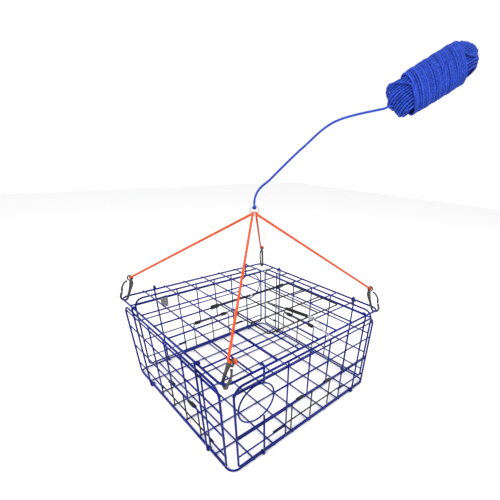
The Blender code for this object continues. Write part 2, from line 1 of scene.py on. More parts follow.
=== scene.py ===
# %% [markdown]
# # A folding wire crab trap
# This lesson builds the looks of a folding crab trap around its working model. The cage is plastic
# coated steel wire, so most of the work is done by one helper that carries a circle along a line of
# points. The camera and the cords come first, then the cage from the ground up, then the fittings.

# %% Load the working model
import math
import random

import bmesh
import bpy
from mathutils import Matrix, Vector


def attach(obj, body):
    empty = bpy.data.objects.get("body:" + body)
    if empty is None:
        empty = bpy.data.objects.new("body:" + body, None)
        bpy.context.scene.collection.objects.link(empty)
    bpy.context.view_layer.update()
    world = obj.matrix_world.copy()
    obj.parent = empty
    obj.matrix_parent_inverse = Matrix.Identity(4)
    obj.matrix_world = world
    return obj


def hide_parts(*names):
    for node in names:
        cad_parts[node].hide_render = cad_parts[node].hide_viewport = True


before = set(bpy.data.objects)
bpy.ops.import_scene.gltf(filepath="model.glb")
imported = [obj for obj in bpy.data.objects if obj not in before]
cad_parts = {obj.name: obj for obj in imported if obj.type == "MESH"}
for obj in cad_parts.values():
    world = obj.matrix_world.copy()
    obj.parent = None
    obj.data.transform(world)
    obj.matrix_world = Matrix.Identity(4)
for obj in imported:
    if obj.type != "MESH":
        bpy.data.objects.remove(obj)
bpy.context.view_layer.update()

# %% [markdown]
# ## Sizes
# Every piece repeats the sizes of the working model, in metres. The origin is on the ground under the
# middle of the base, the front is at -Y, and each side panel is drawn in its own outside view: u runs
# to the right, w up from the base wire, and n outward from it.

# %% Sizes
FRAME_R = 0.0031
HINGE_R = 0.0028
GRID_R = 0.0024
RING_R = 0.0023
GATE_R = 0.0022
DOOR_R = 0.0022
SIDE = 0.6106
AXIS = SIDE / 2 - FRAME_R
CORNER = 0.025
RISE = 0.2995
GAP = 0.0004
CURL_R = FRAME_R + GAP + HINGE_R
BASE_Z = CURL_R + HINGE_R
LID_Z = BASE_Z + RISE
X = Vector((1.0, 0.0, 0.0))
Y = Vector((0.0, 1.0, 0.0))
Z = Vector((0.0, 0.0, 1.0))
print("the lid wire is", round(LID_Z * 1000, 1), "mm up")

# %% [markdown]
# ## Camera
# The trap is seen from above its front left corner. The lens shift keeps the trap where it is framed
# without tilting the camera.

# %% Camera
camera_data = bpy.data.cameras.new("camera")
camera_data.sensor_width = 36.0
camera_data.lens = 22.17
camera_data.shift_x = -0.0728
camera_data.shift_y = 0.1888
camera_data.clip_end = 50.0
camera = bpy.data.objects.new("camera", camera_data)
camera.matrix_world = (
    Matrix.Translation((-0.5644, -0.7523, 0.7438))
    @ Matrix.Rotation(math.radians(-44.692), 4, "Z")
    @ Matrix.Rotation(math.radians(57.666), 4, "X")
    @ Matrix.Rotation(math.radians(2.478), 4, "Z")
)
bpy.context.scene.collection.objects.link(camera)
bpy.context.scene.camera = camera
bpy.context.scene.view_settings.view_transform = "Standard"
print("lens", camera_data.lens, "mm")

# %% [markdown]
# ## Lines to build on
# Wires and cords follow lines of points. Arcs, rounded rectangles and smooth curves through a few
# points cover every bend in the trap.


# %% Lines
def arc(centre, radius, first, second, start, stop, steps):
    """Points on a circle from one angle to another, in the plane of two unit vectors."""
    points = []
    for step in range(steps + 1):
        turn = math.radians(start + (stop - start) * step / steps)
        points.append(centre + radius * (math.cos(turn) * first + math.sin(turn) * second))
    return points


def rounded_loop(low, high, radii, steps, place):
    """A rectangle between two corners of a flat view, rounded by its bottom and top radii."""
    bottom, top = radii
    centres = (
        (high[0] - bottom, low[1] + bottom, bottom, 270), (high[0] - top, high[1] - top, top, 0),
        (low[0] + top, high[1] - top, top, 90), (low[0] + bottom, low[1] + bottom, bottom, 180),
    )
    points = []
    for u, w, radius, start in centres:
        points += arc(Vector((u, w, 0.0)), radius, X, Y, start, start + 90, steps)
    return [place(point.x, point.y) for point in points]


def smooth(points, steps):
    """A Catmull-Rom line through the points."""
    line = []
    for index in range(len(points) - 1):
        before = points[max(index - 1, 0)]
        start = points[index]
        end = points[index + 1]
        after = points[min(index + 2, len(points) - 1)]
        for step in range(steps):
            t = step / steps
            line.append(
                0.5 * (
                    2 * start
                    + (end - before) * t
                    + (2 * before - 5 * start + 4 * end - after) * t * t
                    + (3 * start - before - 3 * end + after) * t ** 3
                )
            )
    line.append(points[-1])
    return line


def spaced(points, least):
    """The points, without any that is nearer than the least step to the one before it."""
    kept = [points[0]]
    for point in points[1:]:
        if (point - kept[-1]).length >= least:
            kept.append(point)
    return kept


def line_length(points):
    return sum((b - a).length for a, b in zip(points, points[1:]))


# %% [markdown]
# ## The wire helper
# A wire could be a curve with a bevel, but a mesh takes weld beads and ground ends in the same piece.
# So a circle of points is extruded from station to station and turned to face along the line. The turn
# from one station to the next is the smallest one, so the wire doesn't twist.


# %% Sweep a wire
def stations(points, closed):
    """A matrix at each point whose Z runs along the line, turned as little as possible between points."""
    count = len(points)
    matrices = []
    for index in range(count):
        if closed:
            along = points[(index + 1) % count] - points[index - 1]
        else:
            along = points[min(index + 1, count - 1)] - points[max(index - 1, 0)]
        along = along.normalized()
        if matrices:
            turn = matrices[-1].col[2].xyz.rotation_difference(along).to_matrix()
            turned = turn @ matrices[-1].to_3x3()
        else:
            turned = along.to_track_quat("Z", "X").to_matrix()
        matrices.append(Matrix.Translation(points[index]) @ turned.to_4x4())
    return matrices


def with_ground_ends(points, radius):
    """Adds a station near each end, so that the end can be narrowed as a cut and ground wire is."""
    step = radius * 0.35
    first = points[0] + (points[1] - points[0]).normalized() * step
    last = points[-1] + (points[-2] - points[-1]).normalized() * step
    return [points[0], first] + points[1:-1] + [last, points[-1]]


def grow(shape, ring, matrix):
    """Extrudes a ring of edges, moves what is new by a matrix and returns the new ring."""
    grown = bmesh.ops.extrude_edge_only(shape, edges=ring)["geom"]
    verts = [item for item in grown if isinstance(item, bmesh.types.BMVert)]
    bmesh.ops.transform(shape, matrix=matrix, verts=verts)
    return [item for item in grown if isinstance(item, bmesh.types.BMEdge)]


def grow_along(shape, frames):
    """Carries a bmesh's edges from frame to frame, and returns the first and the last ring."""
    first = ring = shape.edges[:]
    for before, after in zip(frames, frames[1:]):
        ring = grow(shape, ring, after @ before.inverted())
    return first, ring


def soften(shape):
    for face in shape.faces:
        face.smooth = True


def close_ends(shape, rings):
    for ring in rings:
        bmesh.ops.holes_fill(shape, edges=ring, sides=0)


def sweep(target, points, radius, sides=12, closed=False, scales=None):
    """Adds a round bar along a line of points to a bmesh, as one closed skin."""
    if not closed and scales is None:
        points = with_ground_ends(points, radius)
        scales = [0.72] + [1.0] * (len(points) - 2) + [0.72]
    frames = stations(points, closed)
    if scales:
        frames = [f @ Matrix.Diagonal((k, k, 1.0, 1.0)) for f, k in zip(frames, scales)]
    if closed:
        frames.append(frames[0])
    shape = bmesh.new()
    bmesh.ops.create_circle(shape, segments=sides, radius=radius, matrix=frames[0])
    ends = grow_along(shape, frames)
    soften(shape)
    if closed:
        bmesh.ops.remove_doubles(shape, verts=shape.verts, dist=radius * 0.05)
    else:
        close_ends(shape, ends)
    bmesh.ops.recalc_face_normals(shape, faces=shape.faces)
    join(target, shape)


def mesh_from(name, shape):
    mesh = bpy.data.meshes.new(name)
    shape.to_mesh(mesh)
    shape.free()
    return mesh


def join(target, shape):
    """Adds a finished bmesh to another one."""
    part = mesh_from("part", shape)
    target.from_mesh(part)
    bpy.data.meshes.remove(part)


def bead(target, at, radius, tall=None):
    """A small swelling of the coating where two wires are welded."""
    shape = bmesh.new()
    size = Vector((radius, radius, tall or radius))
    place = Matrix.LocRotScale(at, None, size)
    bmesh.ops.create_icosphere(shape, subdivisions=2, radius=1.0, matrix=place)
    soften(shape)
    join(target, shape)


def piece(name, shape, material, body, slot, *nodes):
    """Makes an object from a bmesh, hangs it on the body it rides on and hides the parts it stands for.
    """
    made = bpy.data.objects.new(name, mesh_from(name, shape))
    return enter(made, material, body, slot, *nodes)


def enter(obj, material, body, slot, *nodes):
    obj.data.materials.clear()
    obj.data.materials.append(material)
    bpy.context.scene.collection.objects.link(obj)
    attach(obj, body)
    if nodes:
        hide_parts(*nodes)
    return obj


print("wire helper ready")

# %% [markdown]
# ## Shader helpers
# Materials are built in code. One helper adds a node and fills or links its sockets, and another does
# arithmetic, which keeps each material short enough to read.


# %% Shader helpers
def fill(tree, socket, value):
    """Links a socket to an output, or sets its value."""
    if isinstance(value, bpy.types.NodeSocket):
        tree.links.new(value, socket)
    else:
        socket.default_value = value


def node(tree, kind, inputs=(), **settings):
    """Adds a shader node with its settings, and fills its sockets by name or by number."""
    made = tree.nodes.new("ShaderNode" + kind)
    for name, value in settings.items():
        setattr(made, name, value)
    for name, value in dict(inputs).items():
        fill(tree, made.inputs[name], value)
    return made


def maths(tree, operation, first, second=0.0, clamp=False):
    made = node(tree, "Math", {0: first, 1: second}, operation=operation, use_clamp=clamp)
    return made.outputs[0]


def times(tree, first, second):
    return maths(tree, "MULTIPLY", first, second)


def spread(tree, value, low, high, to_low=0.0, to_high=1.0):
    """Stretches a range of values to another one, and holds it there."""
    made = node(
        tree, "MapRange",
        {"Value": value, "From Min": low, "From Max": high, "To Min": to_low, "To Max": to_high},
    )
    return made.outputs["Result"]


def blend_colour(tree, amount, first, second):
    made = node(tree, "Mix", {0: amount, 6: first, 7: second}, data_type="RGBA")
    return made.outputs[2]


def noise(tree, vector, scale, detail=3.0, roughness=0.5):
    made = node(
        tree, "TexNoise",
        {"Vector": vector, "Scale": scale, "Detail": detail, "Roughness": roughness},
    )
    return made.outputs["Fac"]


def object_place(tree):
    return node(tree, "TexCoord").outputs["Object"]


def new_group(name, inputs, outputs):
    """A shader node group with number inputs, a vector input called Place and named outputs."""
    group = bpy.data.node_groups.new(name, "ShaderNodeTree")
    group.interface.new_socket("Place", in_out="INPUT", socket_type="NodeSocketVector")
    for label, value in inputs.items():
        socket = group.interface.new_socket(label, in_out="INPUT", socket_type="NodeSocketFloat")
        socket.default_value = value
    for label in outputs:
        group.interface.new_socket(label, in_out="OUTPUT", socket_type="NodeSocketFloat")
    start = group.nodes.new("NodeGroupInput")
    end = group.nodes.new("NodeGroupOutput")
    return group, start.outputs, end.inputs


def use_group(tree, group, **inputs):
    made = tree.nodes.new("ShaderNodeGroup")
    made.node_tree = group
    for label, value in inputs.items():
        fill(tree, made.inputs[label.replace("_", " ")], value)
    return made.outputs


def colour(red, green, blue):
    return (red, green, blue, 1.0)


def new_material(name, **sockets):
    """A Principled material, with the values that are the same all over set on its sockets."""
    material = bpy.data.materials.new(name)
    material.use_nodes = True
    shader = material.node_tree.nodes["Principled BSDF"]
    for label, value in sockets.items():
        shader.inputs[label.replace("_", " ")].default_value = value
    return material, material.node_tree, shader


def relief(tree, shader, height, distance, strength):
    """Feeds a height to the shader's normal through a Bump node."""
    bump = node(tree, "Bump", {"Height": height, "Distance": distance, "Strength": strength})
    tree.links.new(bump.outputs["Normal"], shader.inputs["Normal"])


# %% [markdown]
# ## Skin of a dipped coat
# The wires are dipped in plastic, which leaves a slight ripple, thicker runs and rubbed places. The
# blue wire, the black wire and the moulded sleeves all have it, so it is one node group.

# %% Node group: dipped coat
dipped, coat_in, coat_out = new_group(
    "dipped_coat", {"Ripple": 900.0, "Rub": 0.5}, ("Height", "Shade", "Gloss")
)
ripple = noise(dipped, coat_in["Place"], coat_in["Ripple"], 2.0, 0.45)
runs = noise(dipped, coat_in["Place"], 85.0, 3.0, 0.6)
patches = noise(dipped, coat_in["Place"], 14.0, 4.0, 0.62)
scuff = noise(dipped, coat_in["Place"], 320.0, 5.0, 0.72)
scuffed = times(dipped, spread(dipped, scuff, 0.60, 0.74), spread(dipped, patches, 0.48, 0.66))
rubbed = times(dipped, scuffed, coat_in["Rub"])
height = maths(dipped, "ADD", times(dipped, ripple, 0.35), runs)
worn_down = maths(dipped, "SUBTRACT", height, times(dipped, rubbed, 0.3))
dipped.links.new(worn_down, coat_out["Height"])
dipped.links.new(spread(dipped, patches, 0.32, 0.70), coat_out["Shade"])
dipped.links.new(rubbed, coat_out["Gloss"])
print("group", dipped.name)

# %% [markdown]
# ## Marks on bare metal
# Drawn steel, plated clips and cast zinc differ in how coarse their skin is and how dull it has gone,
# so one group gives them a grain, a tarnish and fine scratches.

# %% Node group: bare metal
bare, bare_in, bare_out = new_group(
    "bare_metal", {"Grain": 1200.0, "Tarnish": 0.4}, ("Height", "Dull", "Scratch")
)
grain = noise(bare, bare_in["Place"], bare_in["Grain"], 4.0, 0.6)
cloud = noise(bare, bare_in["Place"], 130.0, 4.0, 0.65)
streaks = node(bare, "Mapping", {"Vector": bare_in["Place"], "Scale": (300.0, 2600.0, 2600.0)})
scratch = noise(bare, streaks.outputs["Vector"], 1.0, 2.0, 0.5)
fine = spread(bare, scratch, 0.60, 0.68)
bare.links.new(maths(bare, "SUBTRACT", grain, times(bare, fine, 0.5)), bare_out["Height"])
bare.links.new(times(bare, spread(bare, cloud, 0.38, 0.72), bare_in["Tarnish"]), bare_out["Dull"])
bare.links.new(fine, bare_out["Scratch"])
print("group", bare.name)

# %% [markdown]
# ## Braid
# A braided cord is two sets of strands that pass over and under each other. Two waves that run round
# the cord in opposite directions give the strands, and their product says which is on top. Where the
# strands dip, the cord is darkened with painted shade. The pattern reads the cord's own UV map: U goes
# round, V along in metres.

# %% Node group: braid
braid, braid_in, braid_out = new_group(
    "braid", {"Strands": 6.0, "Pitch": 0.012, "Fuzz": 0.3}, ("Height", "PaintedValleyShade", "Fibre")
)
uv = node(braid, "SeparateXYZ", {"Vector": braid_in["Place"]})
round_it = times(braid, uv.outputs["X"], times(braid, braid_in["Strands"], 2 * math.pi))
pitches = maths(braid, "DIVIDE", uv.outputs["Y"], braid_in["Pitch"])
along_it = times(braid, pitches, 2 * math.pi)
left_lay = maths(braid, "COSINE", maths(braid, "ADD", round_it, along_it))
right_lay = maths(braid, "COSINE", maths(braid, "SUBTRACT", round_it, along_it))
cross = times(braid, left_lay, right_lay)
strand = maths(braid, "POWER", maths(braid, "ABSOLUTE", cross), 0.6)
thread_place = node(
    braid, "Mapping", {"Vector": braid_in["Place"], "Scale": (60.0, 1800.0, 1.0)}
).outputs["Vector"]
thread = noise(braid, thread_place, 1.0, 3.0, 0.6)
fuzzed = times(braid, thread, braid_in["Fuzz"])
braid.links.new(maths(braid, "ADD", strand, fuzzed), braid_out["Height"])
# Painted shade: the mask is high in the grooves between the strands, where the strands dip.
braid.links.new(spread(braid, strand, 0.55, 0.05), braid_out["PaintedValleyShade"])
braid.links.new(thread, braid_out["Fibre"])
print("group", braid.name)

# %% [markdown]
# ## Materials
# Each finish uses a group with its own values. What is the same all over a piece, such as the clear
# gloss of the coat, is set on the shader itself.


# %% Coated wire, sleeves and rubber
def coated(name, deep, pale, worn, roughness, rub, ripple_scale, **sockets):
    material, tree, shader = new_material(name, **sockets)
    skin = use_group(tree, dipped, Place=object_place(tree), Ripple=ripple_scale, Rub=rub)
    tone = blend_colour(tree, skin["Shade"], deep, pale)
    tone = blend_colour(tree, skin["Gloss"], tone, worn)
    tree.links.new(tone, shader.inputs["Base Color"])
    gloss = spread(tree, skin["Gloss"], 0.0, 1.0, roughness, min(roughness + 0.35, 1.0))
    tree.links.new(gloss, shader.inputs["Roughness"])
    relief(tree, shader, skin["Height"], 0.00022, 0.5)
    return material


blue_coat = coated(
    "blue_coat", colour(0.0, 0.0015, 0.085), colour(0.0, 0.008, 0.20), colour(0.01, 0.05, 0.34),
    0.30, 0.5, 900.0, Specular_IOR_Level=0.22, Specular_Tint=colour(0.45, 0.55, 1.0),
)
black_coat = coated(
    "black_coat", colour(0.002, 0.002, 0.003), colour(0.007, 0.007, 0.008),
    colour(0.03, 0.03, 0.032), 0.40, 0.6, 900.0, Specular_IOR_Level=0.2,
)
black_sleeve = coated(
    "black_sleeve", colour(0.002, 0.002, 0.002), colour(0.007, 0.007, 0.008),
    colour(0.03, 0.03, 0.03), 0.50, 0.7, 600.0, Specular_IOR_Level=0.3,
)
black_rubber = coated(
    "black_rubber", colour(0.003, 0.003, 0.003), colour(0.010, 0.010, 0.010),
    colour(0.05, 0.05, 0.048), 0.68, 0.9, 450.0, Specular_IOR_Level=0.3,
)
print("coated finishes:", blue_coat.name, black_coat.name, black_sleeve.name, black_rubber.name)


# %% Bare metals
def metal(name, clean, dull, roughness, grain_scale, tarnish, depth, **sockets):
    material, tree, shader = new_material(name, Metallic=1.0, **sockets)
    marks = use_group(tree, bare, Place=object_place(tree), Grain=grain_scale, Tarnish=tarnish)
    tone = blend_colour(tree, marks["Dull"], clean, dull)
    tree.links.new(tone, shader.inputs["Base Color"])
    dulled = spread(tree, marks["Dull"], 0.0, 1.0, roughness, roughness + 0.4)
    rough = maths(tree, "ADD", dulled, times(tree, marks["Scratch"], 0.12), clamp=True)
    tree.links.new(rough, shader.inputs["Roughness"])
    relief(tree, shader, marks["Height"], depth, 0.6)
    return material


bright_steel = metal(
    "bright_steel", colour(0.62, 0.62, 0.61), colour(0.30, 0.29, 0.27), 0.22, 1500.0, 0.45, 0.00004
)
gunmetal = metal(
    "gunmetal", colour(0.075, 0.072, 0.075), colour(0.022, 0.021, 0.023), 0.34, 1100.0, 0.6, 0.00006
)
zinc = metal(
    "zinc", colour(0.34, 0.35, 0.36), colour(0.13, 0.135, 0.14), 0.50, 500.0, 1.0, 0.00035
)
print("bare metals:", bright_steel.name, gunmetal.name, zinc.name)


# %% Braided cord and rope
def braided(name, deep, body_tone, pale, strands, pitch, fuzz, depth, **sockets):
    material, tree, shader = new_material(name, Roughness=0.75, **sockets)
    lay = node(tree, "UVMap", uv_map="cord").outputs["UV"]
    cord = use_group(tree, braid, Place=lay, Strands=strands, Pitch=pitch, Fuzz=fuzz)
    worn = noise(tree, object_place(tree), 45.0, 3.0, 0.6)
    tone = blend_colour(tree, spread(tree, cord["Fibre"], 0.35, 0.70), body_tone, pale)
    tone = blend_colour(tree, spread(tree, worn, 0.45, 0.75, 0.0, 0.35), tone, body_tone)
    # The grooves between the strands are blended toward the deep colour, which is painted shade.
    tone = blend_colour(tree, cord["PaintedValleyShade"], tone, deep)
    tree.links.new(tone, shader.inputs["Base Color"])
    relief(tree, shader, cord["Height"], depth, 0.9)
    return material


# The first colour of each braid is the painted shade in the grooves between its strands.
orange_braid = braided(
    "orange_braid", colour(0.38, 0.025, 0.004), colour(0.76, 0.085, 0.016), colour(0.88, 0.15, 0.04),
    8.0, 0.0085, 0.35, 0.0005, Specular_IOR_Level=0.15,
)
blue_braid = braided(
    "blue_braid", colour(0.001, 0.003, 0.09), colour(0.006, 0.036, 0.56), colour(0.06, 0.19, 1.0),
    6.0, 0.0105, 0.40, 0.0011, Specular_IOR_Level=0.25,
)
black_braid = braided(
    "black_braid", colour(0.004, 0.004, 0.005), colour(0.016, 0.016, 0.017),
    colour(0.05, 0.05, 0.05), 5.0, 0.0040, 0.30, 0.0002,
)
print("braids:", orange_braid.name, blue_braid.name, black_braid.name)

# %% [markdown]
# ## Cords
# A cord has a real length, so it is drawn along the line that its centre follows and keeps that
# length. A curve with a bevel does this well. It is turned into a mesh, which keeps the curve's UV
# map, and the map is stretched to metres so that the braid has the same size on every cord.


# %% Draw a cord
def cord_mesh(name, points, radius, sides=5):
    """A round cord along a line of points, with a UV map called cord that runs in metres."""
    curve = bpy.data.curves.new(name, "CURVE")
    curve.dimensions = "3D"
    curve.bevel_depth = radius
    curve.bevel_resolution = sides
    curve.use_fill_caps = True
    curve.twist_mode = "MINIMUM"
    spline = curve.splines.new("POLY")
    spline.points.add(len(points) - 1)
    for point, at in zip(spline.points, points):
        point.co = (*at, 1.0)
    drawn = bpy.data.objects.new(name + "_line", curve)
    bpy.context.scene.collection.objects.link(drawn)
    bpy.context.view_layer.update()
    graph = bpy.context.evaluated_depsgraph_get()
    mesh = bpy.data.meshes.new_from_object(drawn.evaluated_get(graph))
    bpy.data.objects.remove(drawn, do_unlink=True)
    bpy.data.curves.remove(curve)
    mesh.name = name
    metres(mesh, line_length(points))
    shape = bmesh.new()
    shape.from_mesh(mesh)
    bmesh.ops.remove_doubles(shape, verts=shape.verts, dist=1e-6)
    bmesh.ops.recalc_face_normals(shape, faces=shape.faces)
    for face in shape.faces:
        face.smooth = len(face.verts) == 4
    shape.to_mesh(mesh)
    shape.free()
    return bpy.data.objects.new(name, mesh)


def metres(mesh, length):
    """Stretches the curve's own UV map so that U goes round the cord and V along it in metres."""
    layer = mesh.uv_layers[0]
    layer.name = "cord"
    for loop in layer.data:
        u, v = loop.uv
        loop.uv = (u, v * length)


print("cord helper ready")

# %% [markdown]
# ## Corner clips and the lift ring, as places
# The cords start at the eyes of the four clips and meet in the lift ring, so those places come first.
# Each clip points from the rounded corner of the lid wire toward the ring.

# %% Clip and ring places
CLIP_LENGTH = 0.0685
CLIP_BEND = 0.0112
CLIP_DROP = 0.0076
EYE_RADIUS = 0.0074
EYE_R = 0.0022
CORD_R = 0.0032
RING_RADIUS = 0.0125
LIFT_R = 0.0017
ROPE_R = 0.0030
RIM_GAP = 0.0005
LIFT_RING = Vector((0.017, -0.013, 0.5951))
LIFT_FACE = Vector((-0.6120, -0.7782, 0.1410)).normalized()
CLIPS = {
    "fl": (Vector((-0.2865, -0.3155, 0.3721)), Vector((-0.966, 0.259, 0.0)), (-1, -1)),
    "fr": (Vector((0.2994, -0.2592, 0.3669)), Vector((-1.0, -1.0, 0.0)), (1, -1)),
    "bl": (Vector((-0.2620, 0.2970, 0.3687)), Vector((1.0, 1.0, 0.0)), (-1, 1)),
    "br": (Vector((0.3043, 0.3086, 0.3751)), Vector((0.966, -0.259, 0.0)), (1, 1)),
}
clip_frames = {}
for key, (toward, facing, corner) in CLIPS.items():
    reach = AXIS - CORNER * (1 - math.sqrt(0.5))
    seat = Vector((corner[0] * reach, corner[1] * reach, LID_Z))
    up = (toward - seat).normalized()
    face = (facing - up * facing.dot(up)).normalized()
    clip_frames[key] = (seat, up, face, face.cross(up), seat + up * CLIP_LENGTH)
ring_right = LIFT_FACE.cross(Z).normalized()
if ring_right.dot(X) < 0:
    ring_right.negate()
ring_up = LIFT_FACE.cross(ring_right)
if ring_up.z < 0:
    ring_up.negate()


def ring_rim(angle):
    """A point on the lift ring's centre line, and the direction inward from it."""
    turn = math.radians(angle)
    spoke = math.cos(turn) * ring_right + math.sin(turn) * ring_up
    return LIFT_RING + spoke * RING_RADIUS, -spoke


print("clips:", len(clip_frames), "ring centre:", tuple(round(v, 3) for v in LIFT_RING))

# %% [markdown]
# ## Harness cords
# Two orange cords carry the trap. Each runs from a back clip up through the lift ring and down to a
# front clip, so it is a pair of straight taut legs with a short bight over the ring's wire. The bight
# and the knots at the eyes bend far tighter than the legs do, so they are pieces of their own.


# %% Harness legs
def eye_end(key):
    """Where a cord goes over its clip's eye: points from the leg round the rim to the knot behind."""
    eye, face = clip_frames[key][4], clip_frames[key][2]
    pull = (LIFT_RING - eye).normalized()
    spoke = (pull - face * pull.dot(face)).normalized()
    if face.dot(Vector((-0.6, -0.8, 0.0))) < 0:
        face = -face
    rim = eye + spoke * EYE_RADIUS
    reach = EYE_R + CORD_R + RIM_GAP
    turn = arc(rim, reach, face, -spoke, 0, 90, 6)
    knot = rim - spoke * reach - face * (EYE_R + CORD_R * 1.6)
    return turn, knot, face, spoke


ring_bends = {}
for name, back, front, angle in (("left", "bl", "fl", -124), ("right", "br", "fr", -56)):
    rim, inward = ring_rim(angle)
    away = (eye_end(back)[0][0] - rim).normalized()
    toward = (eye_end(front)[0][0] - rim).normalized()
    start = math.degrees(math.atan2(-away.dot(inward), -away.dot(LIFT_FACE)))
    stop = math.degrees(math.atan2(-toward.dot(inward), toward.dot(LIFT_FACE)))
    bend = arc(rim, LIFT_R + CORD_R + GAP, inward, LIFT_FACE, -start, stop, 9)
    ring_bends[name] = (bend, back, front)

LEG_STEP = 0.006
BLEND = 0.008
knots = {}
for name, (bend, back, front) in ring_bends.items():
    for key, top in ((back, bend[0]), (front, bend[-1])):
        turn, knot, face, spoke = eye_end(key)
        foot = turn[0]
        count = int((top - foot).length / LEG_STEP)
        line = [foot.lerp(top, step / count) for step in range(count + 1)]
        enter(
            cord_mesh("harness_leg_" + key, line, CORD_R), orange_braid, "lid", "orange_cord",
            "harness_" + name,
        )
        lead = foot + (top - foot).normalized() * BLEND
        knots[key] = (lead, turn, knot, face, spoke, line)
    tail = bend[0] + (knots[back][0] - bend[0]).normalized() * BLEND
    head = bend[-1] + (knots[front][0] - bend[-1]).normalized() * BLEND
    enter(
        cord_mesh("harness_bight_" + name, [tail] + bend + [head], CORD_R * 1.02),
        orange_braid, "lid", "orange_cord",
    )
    print("harness", name, "legs", [round(line_length(knots[k][5]), 3) for k in (back, front)])


# %% [markdown]
# ## Knots at the clips
# How the real cords are tied isn't plain to see, so each ends in a small overhand knot that stops it
# behind the eye, with a short melted tail. The knot is the same round cord on a trefoil line, which is
# what an overhand knot is once it is pulled tight.


# %% Knots
KNOT_SIZE = 0.46
KNOT_STEPS = 36


def overhand(at, along, side, size):
    """The line of a tight overhand knot about a point."""
    other = along.cross(side).normalized()
    points = []
    for step in range(KNOT_STEPS + 1):
        t = 2 * math.pi * (0.04 + 0.92 * step / KNOT_STEPS)
        points.append(
            at
            + side * (size * (math.sin(t) + 1.6 * math.sin(2 * t)))
            + other * (size * (math.cos(t) - 1.6 * math.cos(2 * t)))
            + along * (size * -1.25 * math.sin(3 * t))
        )
    return points


for key, (lead, turn, knot, face, spoke, line) in knots.items():
    tie = overhand(knot, -face, spoke, CORD_R * KNOT_SIZE)
    path = smooth([lead, turn[0]] + turn[2::2] + [tie[0]], 4)[:-1] + tie
    tail = tie[-1] - face * 0.003 - spoke * 0.002
    knot_piece = cord_mesh("harness_knot_" + key, path + [tail], CORD_R * 0.98, sides=4)
    enter(knot_piece, orange_braid, "lid", "orange_cord")
    name = "left" if key in ("bl", "fl") else "right"
print("knots tied:", len(knots))

# %% [markdown]
# ## Rope and hank
# The hauling rope is one length. It leaves the lift ring, rises to the hank, is laid there in loops
# beside each other in three layers, and what is left is wrapped round the middle. Modelling all of
# the turns as one line gives the ends their bights and the middle its wraps, with the right amount
# of rope in them.

# %% Rope from the ring to the hank
HANK_MIDDLE = Vector((0.5645, -0.1785, 0.9356))
HANK_ALONG = Vector((0.790, -0.382, 0.480)).normalized()
hank_face = Vector((-0.601, -0.600, 0.528))
hank_face = (hank_face - HANK_ALONG * hank_face.dot(HANK_ALONG)).normalized()
hank_across = hank_face.cross(HANK_ALONG)
if hank_across.z < 0:
    hank_across.negate()
rim, inward = ring_rim(90)
ring_reach = LIFT_R + ROPE_R + RIM_GAP
rope_turn = arc(rim, ring_reach, LIFT_FACE, inward, 0, 90, 6)
rope_knot = rim + inward * ring_reach - LIFT_FACE * (LIFT_R + ROPE_R * 1.6)
rope_path = [
    rope_turn[0] + ring_up * 0.008, Vector((0.0243, -0.0078, 0.6271)),
    Vector((0.0385, -0.0011, 0.6401)), Vector((0.0582, 0.0037, 0.6523)),
    Vector((0.0884, 0.0056, 0.6674)), Vector((0.1355, 0.0071, 0.6971)),
    Vector((0.212, -0.0015, 0.7500)), Vector((0.312, -0.033, 0.8191)),
    HANK_MIDDLE - HANK_ALONG * 0.163,
]
rope_line = smooth(rope_path, 14)
print("rope before the hank:", round(line_length(rope_line), 3), "m")

# %% Hank loops and wraps
ROPE_STEP = 2 * ROPE_R + 0.0003
WRAP_ACROSS = 0.0562
WRAP_DEEP = 0.0366
WRAP_LENGTH = 0.176
WRAP_TURNS = 27
WRAP_STEPS = 30
WRAP_SLANT = 0.011
LOOP_STEPS = 40
LOW_END = -0.150
HIGH_END = 0.149
random.seed(7)


def hank_point(s, across, deep):
    return HANK_MIDDLE + HANK_ALONG * s + hank_across * across + hank_face * deep


def flare(s):
    """How much the loops spread where they stand out of the wrapping: more at the low end."""
    low = max(0.0, -s - WRAP_LENGTH / 2) / 0.07
    high = max(0.0, s - WRAP_LENGTH / 2) / 0.07
    return 1.0 + 0.24 * low - 0.05 * high * high


def around(t, low, high, half):
    """Place and depth at a share of the way round a loop of two straight runs and two half rings."""
    straight = high - low - 2 * half
    way = t * (2 * straight + 2 * math.pi * half)
    if way < straight:
        return low + half + way, half
    way -= straight
    if way < math.pi * half:
        return high - half + half * math.sin(way / half), half * math.cos(way / half)
    way -= math.pi * half
    if way < straight:
        return high - half - way, -half
    way -= straight
    return low + half - half * math.sin(way / half), -half * math.cos(way / half)


def layer_of_loops(inset, heading):
    """One layer of loops: each runs up the front of the hank, over its end and down the back."""
    wide = WRAP_ACROSS - inset
    deep = WRAP_DEEP - inset
    usable = wide * 0.86
    turns = int(2 * usable / ROPE_STEP)
    points = []
    for turn in range(turns):
        low_end = LOW_END + inset * 0.8 + random.uniform(-0.001, 0.007)
        high_end = HIGH_END - inset * 0.9 + random.uniform(-0.004, 0.001)
        off_middle = ((turn + 0.5) * 2 / turns - 1) ** 2
        high_end -= 0.024 * off_middle
        low_end += 0.014 * off_middle
        for step in range(LOOP_STEPS):
            t = step / LOOP_STEPS
            across = heading * usable * ((turn + t) * 2 / turns - 1)
            half = deep * math.sqrt(max(0.0, 1 - (across / wide) ** 2))
            s, thick = around(t, low_end, high_end, half)
            points.append(hank_point(s, across * flare(s), thick))
    return points


